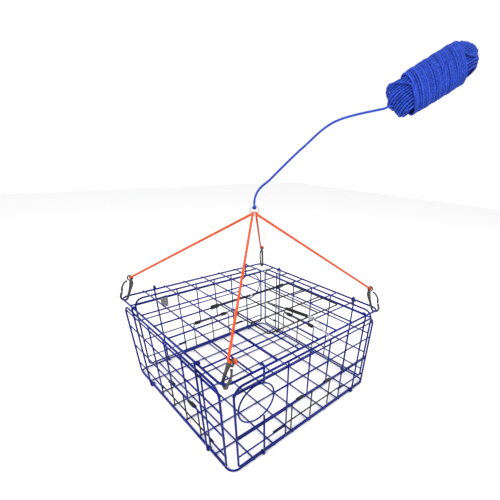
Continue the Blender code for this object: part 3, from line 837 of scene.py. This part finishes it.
inner = [HANK_MIDDLE - HANK_ALONG * 0.155, hank_point(-0.135, -0.008, 0.0)]
loops = (
    layer_of_loops(3.1 * ROPE_STEP, 1)
    + layer_of_loops(2.05 * ROPE_STEP, -1)
    + layer_of_loops(1.02 * ROPE_STEP, 1)
)
wraps = []
for step in range(WRAP_TURNS * WRAP_STEPS + 1):
    t = step / WRAP_STEPS
    angle = 2 * math.pi * t
    s = -WRAP_LENGTH / 2 + WRAP_LENGTH * t / WRAP_TURNS
    swell = 1 - 0.03 * abs(2 * s / WRAP_LENGTH) ** 4
    slack = 0.0006 * math.sin(5.3 * t) + 0.0004 * math.sin(1.7 * t + 1.0)
    across = (WRAP_ACROSS * swell + slack) * math.sin(-angle)
    deep = (WRAP_DEEP * swell + slack) * math.cos(angle)
    wraps.append(hank_point(s + WRAP_SLANT * math.sin(-angle) + slack, across, deep))
cross_over = [hank_point(-0.118, 0.030, 0.033), hank_point(-0.100, 0.012, 0.038)]
hank_line = smooth(rope_line[-2:] + inner + loops, 2) + smooth(cross_over, 3) + smooth(wraps, 2)
tuck = [
    hank_point(0.094, -0.014, 0.036), hank_point(0.108, -0.022, 0.032),
    hank_point(0.122, -0.020, 0.020),
]
hank_line += smooth(tuck, 4)
full_line = spaced(rope_line[:-2] + hank_line, ROPE_R)
rope = enter(
    cord_mesh("haul_rope", full_line, ROPE_R, sides=3), blue_braid, "lid", "blue_rope",
    "rope", "rope_hank",
)
rope_tie = overhand(rope_knot, -LIFT_FACE, ring_right, ROPE_R * KNOT_SIZE)
rope_tail = rope_tie[-1] - LIFT_FACE * 0.003 + ring_right * 0.002
rope_end_path = smooth([rope_path[0], rope_turn[0]] + rope_turn[2::2] + [rope_tie[0]], 4)[:-1]
ring_tie = enter(
    cord_mesh("rope_knot", rope_end_path + rope_tie + [rope_tail], ROPE_R * 0.98, sides=4),
    blue_braid, "lid", "blue_rope",
)
print("rope in all:", round(line_length(full_line), 2), "m")

# %% [markdown]
# ## Base and lid grids
# Each is a frame wire bent into a square with rounded corners and two layers of thinner wire welded
# across it. The lid leaves out the middle of some wires, which is the hatch under the door. Every
# crossing gets a bead, where the coating swells over the weld.

# %% Base and lid
Y_WIRES = 7
X_WIRES = 6
X_WIRE_DROP = 0.0023
Y_WIRE_DROP = 0.0043
HATCH_X = (-0.0755, 0.1511)
HATCH_Y = (-0.2159, 0.0432)
BEAD = (0.0027, 0.0022)
FRAME_BEAD = (0.0036, 0.0030)
HATCH_EDGE = 0.01


def grid_positions(count):
    step = 2 * AXIS / (count + 1)
    return [step * (index - (count - 1) / 2) for index in range(count)]


def wire_spans(at, hatch, gap):
    """Where a wire runs: all the way across, or up to the hatch from both sides."""
    if hatch and hatch[0] + HATCH_EDGE < at < hatch[1] - HATCH_EDGE:
        return [(-AXIS, gap[0]), (gap[1], AXIS)]
    return [(-AXIS, AXIS)]


def flat_grid(name, z, up, hatch, body, node_name):
    shape = bmesh.new()
    loop = rounded_loop(
        (-AXIS, -AXIS), (AXIS, AXIS), (CORNER, CORNER), 10, lambda u, w: Vector((u, w, z))
    )
    sweep(shape, loop, FRAME_R, sides=16, closed=True)
    over = z + up * Y_WIRE_DROP
    under = z + up * X_WIRE_DROP
    for x in grid_positions(Y_WIRES):
        for start, end in wire_spans(x, hatch and HATCH_X, HATCH_Y):
            sweep(shape, [Vector((x, start, over)), Vector((x, end, over))], GRID_R)
        for y in (-AXIS, AXIS):
            bead(shape, Vector((x, y, z + up * 0.0028)), *FRAME_BEAD)
        for y in grid_positions(X_WIRES):
            inside_x = HATCH_X[0] < x < HATCH_X[1]
            if not (hatch and inside_x and HATCH_Y[0] < y < HATCH_Y[1]):
                bead(shape, Vector((x, y, (over + under) / 2)), *BEAD)
    for y in grid_positions(X_WIRES):
        for start, end in wire_spans(y, hatch and HATCH_Y, HATCH_X):
            sweep(shape, [Vector((start, y, under)), Vector((end, y, under))], GRID_R)
        for x in (-AXIS, AXIS):
            bead(shape, Vector((x, y, z + up * 0.0012)), *FRAME_BEAD)
    made = piece(name, shape, blue_coat, body, "blue_wire", node_name)
    print(name, len(made.data.polygons), "faces")


flat_grid("base_grid", BASE_Z, -1, False, "base", "base_panel")
flat_grid("lid_grid", LID_Z, 1, True, "lid", "lid_panel")

# %% [markdown]
# ## Side panels
# A side panel is a frame wire with rounded top corners, rails behind it, uprights in front of it and
# two thicker hinge wires. Each hinge wire is bent into an eye round the base wire. At the top the
# front and back ones hook over the lid wire, and the left and right ones close round it.

# %% Panel sizes
FRAME_N = 0.0014
UPRIGHT_N = 0.0024
RAIL_N = -0.0012
HOOP_N = 0.0035
PANEL_FOOT = 0.009
PANEL_HEAD = 0.280
HEAD_CORNER = 0.030
FOOT_CORNER = 0.010
RAILS = (0.260, 0.200, 0.120, 0.045)
SILL = 0.112
HOOP_RADIUS = 0.0557
HOOP_W = 0.205
HOOK_RISE = 0.006
HOOK_TIP = 0.0040
PANELS = {
    "front": dict(
        frame=(-0.280, 0.279), full=(-0.110, 0.140), short=(-0.028, 0.057),
        hinges=(-0.195, 0.217), hoop=-0.216, legs=(-0.080, 0.005, 0.090),
        trip=(-0.156, 0.162), sleeves=(-0.051, 0.071),
    ),
    "back": dict(
        frame=(-0.296, 0.264), full=(-0.136, 0.107), short=(-0.054, 0.027),
        hinges=(-0.216, 0.187), hoop=-0.233, legs=(-0.104, -0.022, 0.063),
        trip=(-0.180, 0.138), sleeves=(-0.081, 0.044),
    ),
    "left": dict(
        frame=(-0.281, 0.281), full=(-0.091, 0.205), short=(0.008, 0.106),
        hinges=(-0.190, 0.190), hoop=None, legs=(-0.024, 0.058, 0.140),
        trip=(-0.099, 0.219), sleeves=(-0.006, 0.120),
    ),
    "right": dict(
        frame=(-0.281, 0.281), full=(-0.098, 0.205), short=(-0.002, 0.098),
        hinges=(-0.199, 0.189), hoop=None, legs=(-0.036, 0.055, 0.145),
        trip=(-0.104, 0.214), sleeves=(-0.018, 0.112),
    ),
}
VIEWS = {
    "front": lambda u, w, n=0.0: Vector((u, -AXIS - n, BASE_Z + w)),
    "back": lambda u, w, n=0.0: Vector((-u, AXIS + n, BASE_Z + w)),
    "left": lambda u, w, n=0.0: Vector((-AXIS - n, -u, BASE_Z + w)),
    "right": lambda u, w, n=0.0: Vector((AXIS + n, u, BASE_Z + w)),
}
ALONG = {"front": X, "back": -X, "left": -Y, "right": Y}
OUTWARD = {"front": -Y, "back": Y, "left": -X, "right": X}
print("panels:", sorted(PANELS))


# %% Hinge wires
def foot_eye(view, outward, u, top):
    """From the closed eye round the base wire, up the outside of the panel."""
    eye = arc(view(u, 0), CURL_R, outward, Z, -255, 0, 26)
    return eye + [view(u, PANEL_FOOT, CURL_R), view(u, top, CURL_R)]


def head_end(view, outward, u, start, hooked):
    """From the panel up to a hook over the lid wire, or to an eye round it."""
    if hooked:
        arch = arc(view(u, RISE + HOOK_RISE), CURL_R, outward, Z, 0, 180, 18)
        arch.append(view(u, RISE + HOOK_TIP, -CURL_R))
    else:
        arch = arc(view(u, RISE), CURL_R, outward, Z, 0, 255, 26)
    return [view(u, start, CURL_R)] + arch


def hinge_lines(side):
    view, outward, hoop = VIEWS[side], OUTWARD[side], PANELS[side]["hoop"]
    hooked = side in ("front", "back")
    lines = []
    for u in PANELS[side]["hinges"]:
        if hoop is not None and abs(u - hoop) < HOOP_RADIUS:
            reach = math.sqrt((HOOP_RADIUS + RING_R) ** 2 - (u - hoop) ** 2)
            lines.append(foot_eye(view, outward, u, HOOP_W - reach - 0.001))
            lines.append(head_end(view, outward, u, HOOP_W + reach + 0.0015, hooked))
        else:
            head = head_end(view, outward, u, PANEL_HEAD + 0.002, hooked)
            lines.append(foot_eye(view, outward, u, PANEL_HEAD) + head)
    return lines


print("hinge wires:", sum(len(hinge_lines(side)) for side in PANELS))


# %% Side panels
def panel_wires(side):
    """The panel's rails as (from, to, height) and its uprights as (place, from, to)."""
    sizes = PANELS[side]
    left, right = sizes["frame"]
    door_left, door_right = sizes["full"]
    hoop_edge = left if sizes["hoop"] is None else sizes["hoop"] + HOOP_RADIUS
    rails = [
        (left, right, RAILS[0]), (hoop_edge, right, RAILS[1]), (left, right, RAILS[2]),
        (left, door_left, RAILS[3]), (door_right, right, RAILS[3]),
    ]
    if side == "front":
        rails += [(left, door_left, SILL), (door_right, right, SILL)]
    uprights = [(u, PANEL_FOOT, PANEL_HEAD) for u in sizes["full"]]
    uprights += [(u, RAILS[2], PANEL_HEAD) for u in sizes["short"]]
    return rails, uprights


def side_panel(side):
    view, sizes = VIEWS[side], PANELS[side]
    left, right = sizes["frame"]
    shape = bmesh.new()
    loop = rounded_loop(
        (left, PANEL_FOOT), (right, PANEL_HEAD), (FOOT_CORNER, HEAD_CORNER), 9,
        lambda u, w: view(u, w, FRAME_N),
    )
    sweep(shape, loop, FRAME_R, sides=16, closed=True)
    rails, uprights = panel_wires(side)
    for start, end, w in rails:
        sweep(shape, [view(start, w, RAIL_N), view(end, w, RAIL_N)], GRID_R)
        for u in (start, end):
            bead(shape, view(u, w, 0.0002), 0.0031)
    for u, low, high in uprights:
        sweep(shape, [view(u, low, UPRIGHT_N), view(u, high, UPRIGHT_N)], GRID_R)
        bead(shape, view(u, high, 0.0020), 0.0034)
        for start, end, w in rails:
            if start <= u <= end and low <= w <= high:
                bead(shape, view(u, w, (RAIL_N + UPRIGHT_N) / 2), 0.0028, 0.0026)
    for line in hinge_lines(side):
        sweep(shape, line, HINGE_R, sides=14)
    for u in sizes["hinges"]:
        for w in (PANEL_FOOT, PANEL_HEAD):
            bead(shape, view(u, w, 0.0040), 0.0036)
    made = piece(side + "_wires", shape, blue_coat, side + "_side", "blue_wire", side + "_panel")
    print(made.name, len(made.data.polygons), "faces")


for side in PANELS:
    side_panel(side)

# %% [markdown]
# ## Escape rings
# Small crabs leave through a ring in the front and back panels. Each is a round wire butted and
# welded to itself, so it has one bead where its ends meet.

# %% Escape rings
for side in ("front", "back"):
    shape = bmesh.new()
    centre = VIEWS[side](PANELS[side]["hoop"], HOOP_W, HOOP_N)
    hoop = arc(centre, HOOP_RADIUS, ALONG[side], Z, 0, 360, 72)[:-1]
    sweep(shape, hoop, RING_R, sides=14, closed=True)
    bead(shape, hoop[54], 0.0028, 0.0027)
    piece(side + "_ring_wire", shape, blue_coat, side + "_side", "blue_wire", side + "_escape_ring")
    print(side, "escape ring, inside", round(2000 * (HOOP_RADIUS - RING_R)), "mm")

# %% [markdown]
# ## Entrance gates
# Each gate is a thin black wire bent over the top bar and down both sides, with a middle leg and a
# trip bar welded across. Two sleeves hold its top bar under the panel's rail, and it swings inward
# when a crab pushes it.

# %% Gates
BAR_N = -0.0046
BAR_W = 0.1165
LEG_FOOT = 0.008
TRIP_N = -0.0022
TRIP_W = 0.051
LEG_CORNER = 0.005


def gate(side):
    view, along = VIEWS[side], ALONG[side]
    left, middle, right = PANELS[side]["legs"]
    line = [view(left, LEG_FOOT, BAR_N)]
    for u, start, stop in ((left + LEG_CORNER, 180, 90), (right - LEG_CORNER, 90, 0)):
        line += arc(view(u, BAR_W - LEG_CORNER, BAR_N), LEG_CORNER, along, Z, start, stop, 8)
    line.append(view(right, LEG_FOOT, BAR_N))
    shape = bmesh.new()
    sweep(shape, line, GATE_R)
    sweep(shape, [view(middle, BAR_W, BAR_N), view(middle, LEG_FOOT, BAR_N)], GATE_R)
    start, end = PANELS[side]["trip"]
    sweep(shape, [view(start, TRIP_W, TRIP_N), view(end, TRIP_W, TRIP_N)], GATE_R)
    for u in (left, middle, right):
        bead(shape, view(u, TRIP_W, (BAR_N + TRIP_N) / 2), 0.0021)
    piece(side + "_gate_wires", shape, black_coat, side + "_gate", "black_wire", side + "_gate")


for side in PANELS:
    gate(side)
print("gates:", len(PANELS))

# %% [markdown]
# ## Sleeves
# A sleeve is a short black tube that wraps the rail and the bar together, so its section is a long
# oval. A circle is stretched to that oval, extruded to length and given a wall, and its ends are
# rounded over.


# %% Sleeves
SLEEVE_BORE = 0.0025
SLEEVE_WALL = 0.0026
SLEEVE_LENGTH = 0.022
DOOR_SLEEVE_LENGTH = 0.026


def sharp_edges(shape, degrees):
    return [
        edge for edge in shape.edges
        if len(edge.link_faces) == 2 and edge.calc_face_angle(0.0) > math.radians(degrees)
    ]


def round_over(shape, edges, width, segments=2, clamp=False):
    bmesh.ops.bevel(
        shape, geom=edges, offset=width, segments=segments, affect="EDGES", profile=0.5,
        material=-1, clamp_overlap=clamp,
    )


def sleeve(name, first, second, along, length, bore_r, wall, finish, node_name, dents=0.0):
    """A tube round one wire or two, and where it is given dents, squeezed from above by that much."""
    material, body, slot = finish
    across = second - first
    gap = across.length
    if gap < 1e-6:
        across = along.orthogonal()
    across = across.normalized()
    turn = Matrix((across, along.cross(across), along)).transposed().to_4x4()
    start = Matrix.Translation(first - along * length / 2) @ turn
    shape = bmesh.new()
    bmesh.ops.create_circle(shape, segments=28, radius=bore_r + wall, matrix=start)
    local = start.inverted()
    far = [vert for vert in shape.verts if (local @ vert.co).x > 1e-5]
    bmesh.ops.translate(shape, verts=far, vec=across * gap)
    ring = shape.edges[:]
    for part in (0.04, 0.30, 0.32, 0.30, 0.04):
        ring = grow(shape, ring, Matrix.Translation(along * length * part))
    bmesh.ops.recalc_face_normals(shape, faces=shape.faces)
    bmesh.ops.solidify(shape, geom=shape.faces[:], thickness=wall)
    bmesh.ops.recalc_face_normals(shape, faces=shape.faces)
    round_over(shape, sharp_edges(shape, 60), wall * 0.3)
    soften(shape)
    middle = (first + second) / 2
    for vert in shape.verts:
        offset = vert.co - middle
        if abs(offset.dot(along)) < length * 0.3 and offset.z > 0:
            vert.co -= Z * dents
    piece(name, shape, material, body, slot, node_name)


for side in PANELS:
    view = VIEWS[side]
    for letter, u in zip("ab", PANELS[side]["sleeves"]):
        sleeve(
            f"{side}_gate_sleeve_{letter}", view(u, RAILS[2], RAIL_N), view(u, BAR_W, BAR_N),
            ALONG[side], SLEEVE_LENGTH, SLEEVE_BORE, SLEEVE_WALL,
            (black_sleeve, side + "_side", "black_plastic"), f"{side}_sleeve_{letter}",
        )
print("gate sleeves: 8")

# %% [markdown]
# ## Lid door
# The door is the same black wire as the gates but thicker: a rounded frame, two rails and two bars
# over them. One corner runs on as an ear through the outer hinge sleeve.

# %% Lid door
DOOR_X = (-0.090, 0.208)
DOOR_Y = (-0.203, 0.0385)
DOOR_RAILS = (-0.042, -0.123)
DOOR_BARS = (0.006, 0.107)
DOOR_Z = LID_Z + 0.0084
DOOR_BAR_Z = LID_Z + 0.0115
DOOR_SLEEVES = (-0.1065, 0.174)

shape = bmesh.new()
door_loop = rounded_loop(
    (DOOR_X[0], DOOR_Y[0]), (DOOR_X[1], DOOR_Y[1]), (0.006, 0.006), 8,
    lambda u, w: Vector((u, w, DOOR_Z)),
)
sweep(shape, door_loop, DOOR_R, sides=14, closed=True)
for y in DOOR_RAILS:
    sweep(shape, [Vector((DOOR_X[0], y, DOOR_Z)), Vector((DOOR_X[1], y, DOOR_Z))], DOOR_R)
    for x in DOOR_X:
        bead(shape, Vector((x, y, DOOR_Z)), 0.0026, 0.0022)
for x in DOOR_BARS:
    sweep(shape, [Vector((x, y, DOOR_BAR_Z)) for y in DOOR_Y], DOOR_R)
    for y in DOOR_RAILS + DOOR_Y:
        bead(shape, Vector((x, y, (DOOR_Z + DOOR_BAR_Z) / 2)), 0.0026, 0.0024)
ear = [Vector((x, DOOR_Y[1], DOOR_Z)) for x in (DOOR_X[0] + 0.010, DOOR_SLEEVES[0] - 0.014)]
sweep(shape, ear, DOOR_R, sides=14)
door = piece("door_wires", shape, black_coat, "door", "black_wire", "lid_door")
lid_rail = Vector((0.0, grid_positions(X_WIRES)[3], LID_Z + X_WIRE_DROP))
for letter, x in zip("ab", DOOR_SLEEVES):
    sleeve(
        "door_hinge_sleeve_" + letter, lid_rail + X * x, Vector((x, DOOR_Y[1], DOOR_Z)), X,
        DOOR_SLEEVE_LENGTH, SLEEVE_BORE, SLEEVE_WALL, (black_sleeve, "lid", "black_plastic"),
        "door_sleeve_" + letter,
    )
print("door", len(door.data.polygons), "faces")

# %% [markdown]
# ## Latch
# A doubled elastic runs from a crimp on the door to a rubber grip. Pulling the grip stretches it, so
# that the doubled steel hook clears the lid's front wire.

# %% Latch places
SHOCK_R = 0.0014
GRIP_R = 0.0050
LATCH_WIRE_R = 0.0012
shock_z = DOOR_Z + DOOR_R + 0.0006 + SHOCK_R
grip_z = DOOR_Z + DOOR_R + 0.0006 + GRIP_R
shock_foot = Vector((0.033, -0.0465, shock_z))
grip_start = Vector((0.044, -0.1285, grip_z))
grip_end = Vector((0.058, -0.208, grip_z))
shock_line = grip_start - shock_foot
shock_line.z = 0.0
shock_dir = shock_line.normalized()
shock_side = Z.cross(shock_dir)
grip_dir = (grip_end - grip_start).normalized()
print("elastic", round(shock_line.length * 1000), "mm long at rest")

# %% Elastic and its crimps
shock_head = grip_start - shock_dir * 0.0005
shock_neck = shock_head - shock_dir * 0.012
shock_neck.z = (shock_z + grip_z) / 2
HEAD_HALF = 0.0022
FOOT_HALF = 0.0030


def elastic_side(side):
    """One side of the doubled elastic, from the grip to the door."""
    return [
        shock_head + side * HEAD_HALF, shock_neck + side * HEAD_HALF,
        shock_foot + shock_dir * 0.030 + side * FOOT_HALF,
        shock_foot + shock_dir * 0.004 + side * FOOT_HALF,
    ]


turn = arc(shock_foot + shock_dir * 0.003, FOOT_HALF, shock_side, -shock_dir, 0, 180, 14)
elastic = smooth(elastic_side(shock_side), 8) + turn
elastic += smooth(elastic_side(-shock_side)[::-1], 8)
enter(
    cord_mesh("elastic_cord", elastic, SHOCK_R, sides=4), black_braid, "door", "black_rubber",
    "latch_elastic",
)
for place, x, y, wall, dents in (
    ("back", 0.035, DOOR_Y[1], 0.0014, 0.0003), ("mid", 0.033, DOOR_RAILS[0], 0.0010, 0.0002),
):
    at = Vector((x, y, DOOR_Z))
    sleeve(
        "door_crimp_" + place, at, at, X, 0.009, 0.0023, wall,
        (bright_steel, "door", "bright_steel"), "latch_crimp_" + place, dents,
    )
print("elastic is", round(line_length(elastic), 3), "m of cord")

# %% Rubber grip
GRIP_PROFILE = (
    (0.000, 0.80), (0.012, 0.94), (0.035, 0.99), (0.060, 0.93), (0.085, 0.99), (0.30, 1.0),
    (0.34, 0.955), (0.38, 1.0), (0.48, 1.0), (0.52, 0.955), (0.56, 1.0), (0.66, 1.0), (0.70, 0.955),
    (0.74, 1.0), (0.915, 0.99), (0.94, 0.93), (0.965, 0.99), (0.988, 0.94), (1.000, 0.80),
)
shape = bmesh.new()
grip_points = [grip_start.lerp(grip_end, part) for part, _ in GRIP_PROFILE]
sweep(shape, grip_points, GRIP_R, sides=28, scales=[scale for _, scale in GRIP_PROFILE])
piece("grip_tube", shape, black_rubber, "latch", "black_rubber", "latch_grip")
print("grip", round((grip_end - grip_start).length * 1000), "mm")

# %% Hook and its crimp
crimp_start = grip_end + grip_dir * 0.0085
crimp_end = grip_end + grip_dir * 0.0205
hook_crest = Vector((0.039, -AXIS, LID_Z + FRAME_R + 0.0006 + LATCH_WIRE_R))
hook_dir = hook_crest - crimp_end
hook_dir.z = 0.0
hook_dir.normalize()
hook_side = Z.cross(hook_dir)
HOOK_SPREAD = 0.0034


def hook_strand(offset):
    reach = FRAME_R + 0.0006 + LATCH_WIRE_R
    middle = Vector((hook_crest.x + offset, -AXIS, LID_Z))
    bend = arc(middle, reach, Z, hook_dir, 0, 90, 10)
    tip = middle + hook_dir * reach - Z * 0.0085
    run = [
        grip_end + grip_dir * 0.0018 + hook_side * offset * 0.45,
        crimp_end + hook_side * offset * 0.45,
        crimp_end + hook_dir * 0.014 + hook_side * offset - Z * 0.0010,
        hook_crest - hook_dir * 0.012 + X * offset + Z * 0.0012,
    ]
    return smooth(run + [bend[0]], 6)[:-1] + bend + [tip]


out_strand = hook_strand(HOOK_SPREAD)
back_strand = hook_strand(-HOOK_SPREAD)
tip_turn = arc((out_strand[-1] + back_strand[-1]) / 2, HOOK_SPREAD, X, -Z, 0, 180, 14)[1:-1]
shape = bmesh.new()
sweep(shape, out_strand + tip_turn + back_strand[::-1], LATCH_WIRE_R, sides=10)
piece("hook_wire", shape, bright_steel, "latch", "bright_steel", "latch_hook")
crimp_middle = (crimp_start + crimp_end) / 2
sleeve(
    "hook_crimp", crimp_middle, crimp_middle, grip_dir, (crimp_end - crimp_start).length, 0.0035,
    0.0012, (bright_steel, "latch", "bright_steel"), "latch_crimp", 0.0004,
)
print("hook reaches", round(hook_crest.y, 3))

# %% [markdown]
# ## Corner clips
# Each clip is a snap hook: an eye for the cord, a tapering channel-shaped body that bends round under
# the lid wire, and a sprung gate on the other side that shuts against the tip of the bend.

# %% Corner clips
BODY_R = 0.0031
GATE_WIRE_R = 0.0025
CHANNEL = 0.62
SHOULDER = 0.88


def corner_clip(key):
    seat, up, face, across, eye = clip_frames[key]
    bend = seat + up * (CLIP_BEND - CLIP_DROP)
    line = [
        eye - up * 0.0052 + across * 0.0050, eye - up * 0.0110 + across * 0.0078,
        eye - up * 0.0165 + across * 0.0094, eye - up * 0.0260 + across * 0.0102,
        eye - up * 0.0400 + across * 0.0109,
    ]
    line += arc(bend, CLIP_BEND, across, -up, 0, 180, 20)
    line += [bend - across * CLIP_BEND + up * 0.006, bend - across * CLIP_BEND + up * 0.012]
    widths = [1.35, 1.95, 1.90, 1.62, 1.25] + [1.0] * 21 + [1.0, 0.92]
    shape = bmesh.new()
    bar(shape, line, face, widths)
    loop = arc(eye, EYE_RADIUS, across, up, 0, 360, 36)[:-1]
    sweep(shape, loop, EYE_R, sides=14, closed=True)
    piece("clip_body_" + key, shape, gunmetal, "lid", "gunmetal", "clip_" + key)
    pivot = eye - up * 0.0118 - across * 0.0058
    nose = bend - across * CLIP_BEND + up * 0.0130
    bow = smooth(
        [pivot, pivot - up * 0.010 - across * 0.0066, nose + up * 0.014 - across * 0.0036, nose], 8
    )
    thick = [1.3 if i < 4 or i > len(bow) - 9 else 1.05 for i in range(len(bow))]
    shape = bmesh.new()
    sweep(shape, bow, GATE_WIRE_R, sides=12, scales=[0.8] + thick[1:-1] + [0.85])
    gate_body = "clip_gate_" + key
    piece("clip_bow_" + key, shape, gunmetal, gate_body, "gunmetal", gate_body)


def bar(target, line, face, widths):
    """A bar with a shallow channel pressed into its two flat sides, wider where widths says."""
    shape = bmesh.new()
    frames = []
    for index, point in enumerate(line):
        along = line[min(index + 1, len(line) - 1)] - line[max(index - 1, 0)]
        along = along.normalized()
        side = along.cross(face).normalized()
        frames.append(
            Matrix.Translation(point)
            @ Matrix((side, along.cross(side), along)).transposed().to_4x4()
            @ Matrix.Diagonal((widths[index], 1.0, 1.0, 1.0))
        )
    bmesh.ops.create_grid(shape, x_segments=4, y_segments=1, size=BODY_R)
    bmesh.ops.delete(shape, geom=shape.faces[:], context="FACES_ONLY")
    across = [
        edge for edge in shape.edges
        if all(abs(vert.co.x) < BODY_R * 0.99 for vert in edge.verts)
        and abs(edge.verts[0].co.y - edge.verts[1].co.y) > BODY_R
    ]
    bmesh.ops.delete(shape, geom=across, context="EDGES")
    for vert in shape.verts:
        vert.co.y *= CHANNEL if abs(vert.co.x) < BODY_R * 0.75 else SHOULDER
    bmesh.ops.transform(shape, matrix=frames[0], verts=shape.verts[:])
    close_ends(shape, grow_along(shape, frames))
    bmesh.ops.recalc_face_normals(shape, faces=shape.faces)
    round_over(shape, sharp_edges(shape, 48), 0.0006, clamp=True)
    soften(shape)
    join(target, shape)


for key in CLIPS:
    corner_clip(key)
print("clips:", len(CLIPS))

# %% [markdown]
# ## Lift ring
# A plain bright steel ring, bent round and welded shut.

# %% Lift ring
shape = bmesh.new()
ring_loop = arc(LIFT_RING, RING_RADIUS, ring_right, ring_up, 0, 360, 64)[:-1]
sweep(shape, ring_loop, LIFT_R, sides=16, closed=True)
bead(shape, ring_loop[0], 0.0020)
piece("ring_round", shape, bright_steel, "lid", "bright_steel", "lift_ring")
print("lift ring", round(2000 * (RING_RADIUS + LIFT_R)), "mm across")

# %% [markdown]
# ## Zinc anode
# A zinc block is cast round the back panel's top rail and dissolves before the steel does. A few
# points give its outline, which is extruded, rounded over and then roughened as a casting is.

# %% Zinc anode
ANODE_U = 0.163
OUTLINE = (
    (-0.011, 0.228), (0.011, 0.228), (0.0125, 0.240), (0.0125, 0.266), (-0.0125, 0.268),
    (-0.0125, 0.240),
)
shape = bmesh.new()
corners = [shape.verts.new(VIEWS["back"](ANODE_U + u, w, -0.0085)) for u, w in OUTLINE]
grown = bmesh.ops.extrude_face_region(shape, geom=[shape.faces.new(corners)])["geom"]
moved = [item for item in grown if isinstance(item, bmesh.types.BMVert)]
bmesh.ops.translate(shape, verts=moved, vec=Y * 0.010)
bmesh.ops.recalc_face_normals(shape, faces=shape.faces)
round_over(shape, shape.edges[:], 0.0016, segments=3)
bmesh.ops.triangulate(shape, faces=shape.faces[:])
for _ in range(2):
    long_edges = [edge for edge in shape.edges if edge.calc_length() > 0.002]
    bmesh.ops.subdivide_edges(shape, edges=long_edges, cuts=1, use_grid_fill=True)
    bmesh.ops.triangulate(shape, faces=shape.faces[:])
random.seed(11)
for vert in shape.verts:
    vert.co += Vector([random.uniform(-0.00016, 0.00016) for _ in range(3)])
bmesh.ops.smooth_vert(
    shape, verts=shape.verts[:], factor=0.5, use_axis_x=True, use_axis_y=True, use_axis_z=True
)
soften(shape)
bmesh.ops.recalc_face_normals(shape, faces=shape.faces)
anode = piece("anode_block", shape, zinc, "back_side", "zinc", "zinc_anode")
print("anode", len(anode.data.polygons), "faces")

# %% [markdown]
# ## Floor and light
# The trap stands on a plain pale floor in soft light: a bright sky all round and two large lamps, one
# high on the left for the glints along the wires and one on the right to lift the shadows.

# %% Floor
floor_paint, tree, shader = new_material("floor_paint", Roughness=0.85, Specular_IOR_Level=0.2)
mottle = noise(tree, object_place(tree), 3.0, 2.0, 0.5)
tree.links.new(
    blend_colour(tree, mottle, colour(0.90, 0.90, 0.91), colour(0.93, 0.93, 0.935)),
    shader.inputs["Base Color"],
)
shape = bmesh.new()
bmesh.ops.create_grid(shape, x_segments=1, y_segments=1, size=6.0)
floor = bpy.data.objects.new("floor", mesh_from("floor", shape))
floor.data.materials.append(floor_paint)
bpy.context.scene.collection.objects.link(floor)
print("floor laid")


# %% Light
def lamp(name, place, target, size, power):
    data = bpy.data.lights.new(name, "AREA")
    data.shape = "SQUARE"
    data.size = size
    data.energy = power
    lit = bpy.data.objects.new(name, data)
    facing = (Vector(target) - Vector(place)).to_track_quat("-Z", "Y")
    lit.matrix_world = Matrix.Translation(place) @ facing.to_matrix().to_4x4()
    bpy.context.scene.collection.objects.link(lit)


lamp("key_lamp", (-1.6, -0.6, 2.6), (0.0, 0.0, 0.2), 1.2, 60.0)
lamp("fill_lamp", (1.8, -1.8, 1.8), (0.0, 0.0, 0.2), 2.0, 22.0)
world = bpy.data.worlds.new("studio")
world.use_nodes = True
sky = world.node_tree.nodes["Background"]
sky.inputs["Color"].default_value = (1.0, 1.0, 1.0, 1.0)
sky.inputs["Strength"].default_value = 1.0
bpy.context.scene.world = world
print("lamps and sky set")
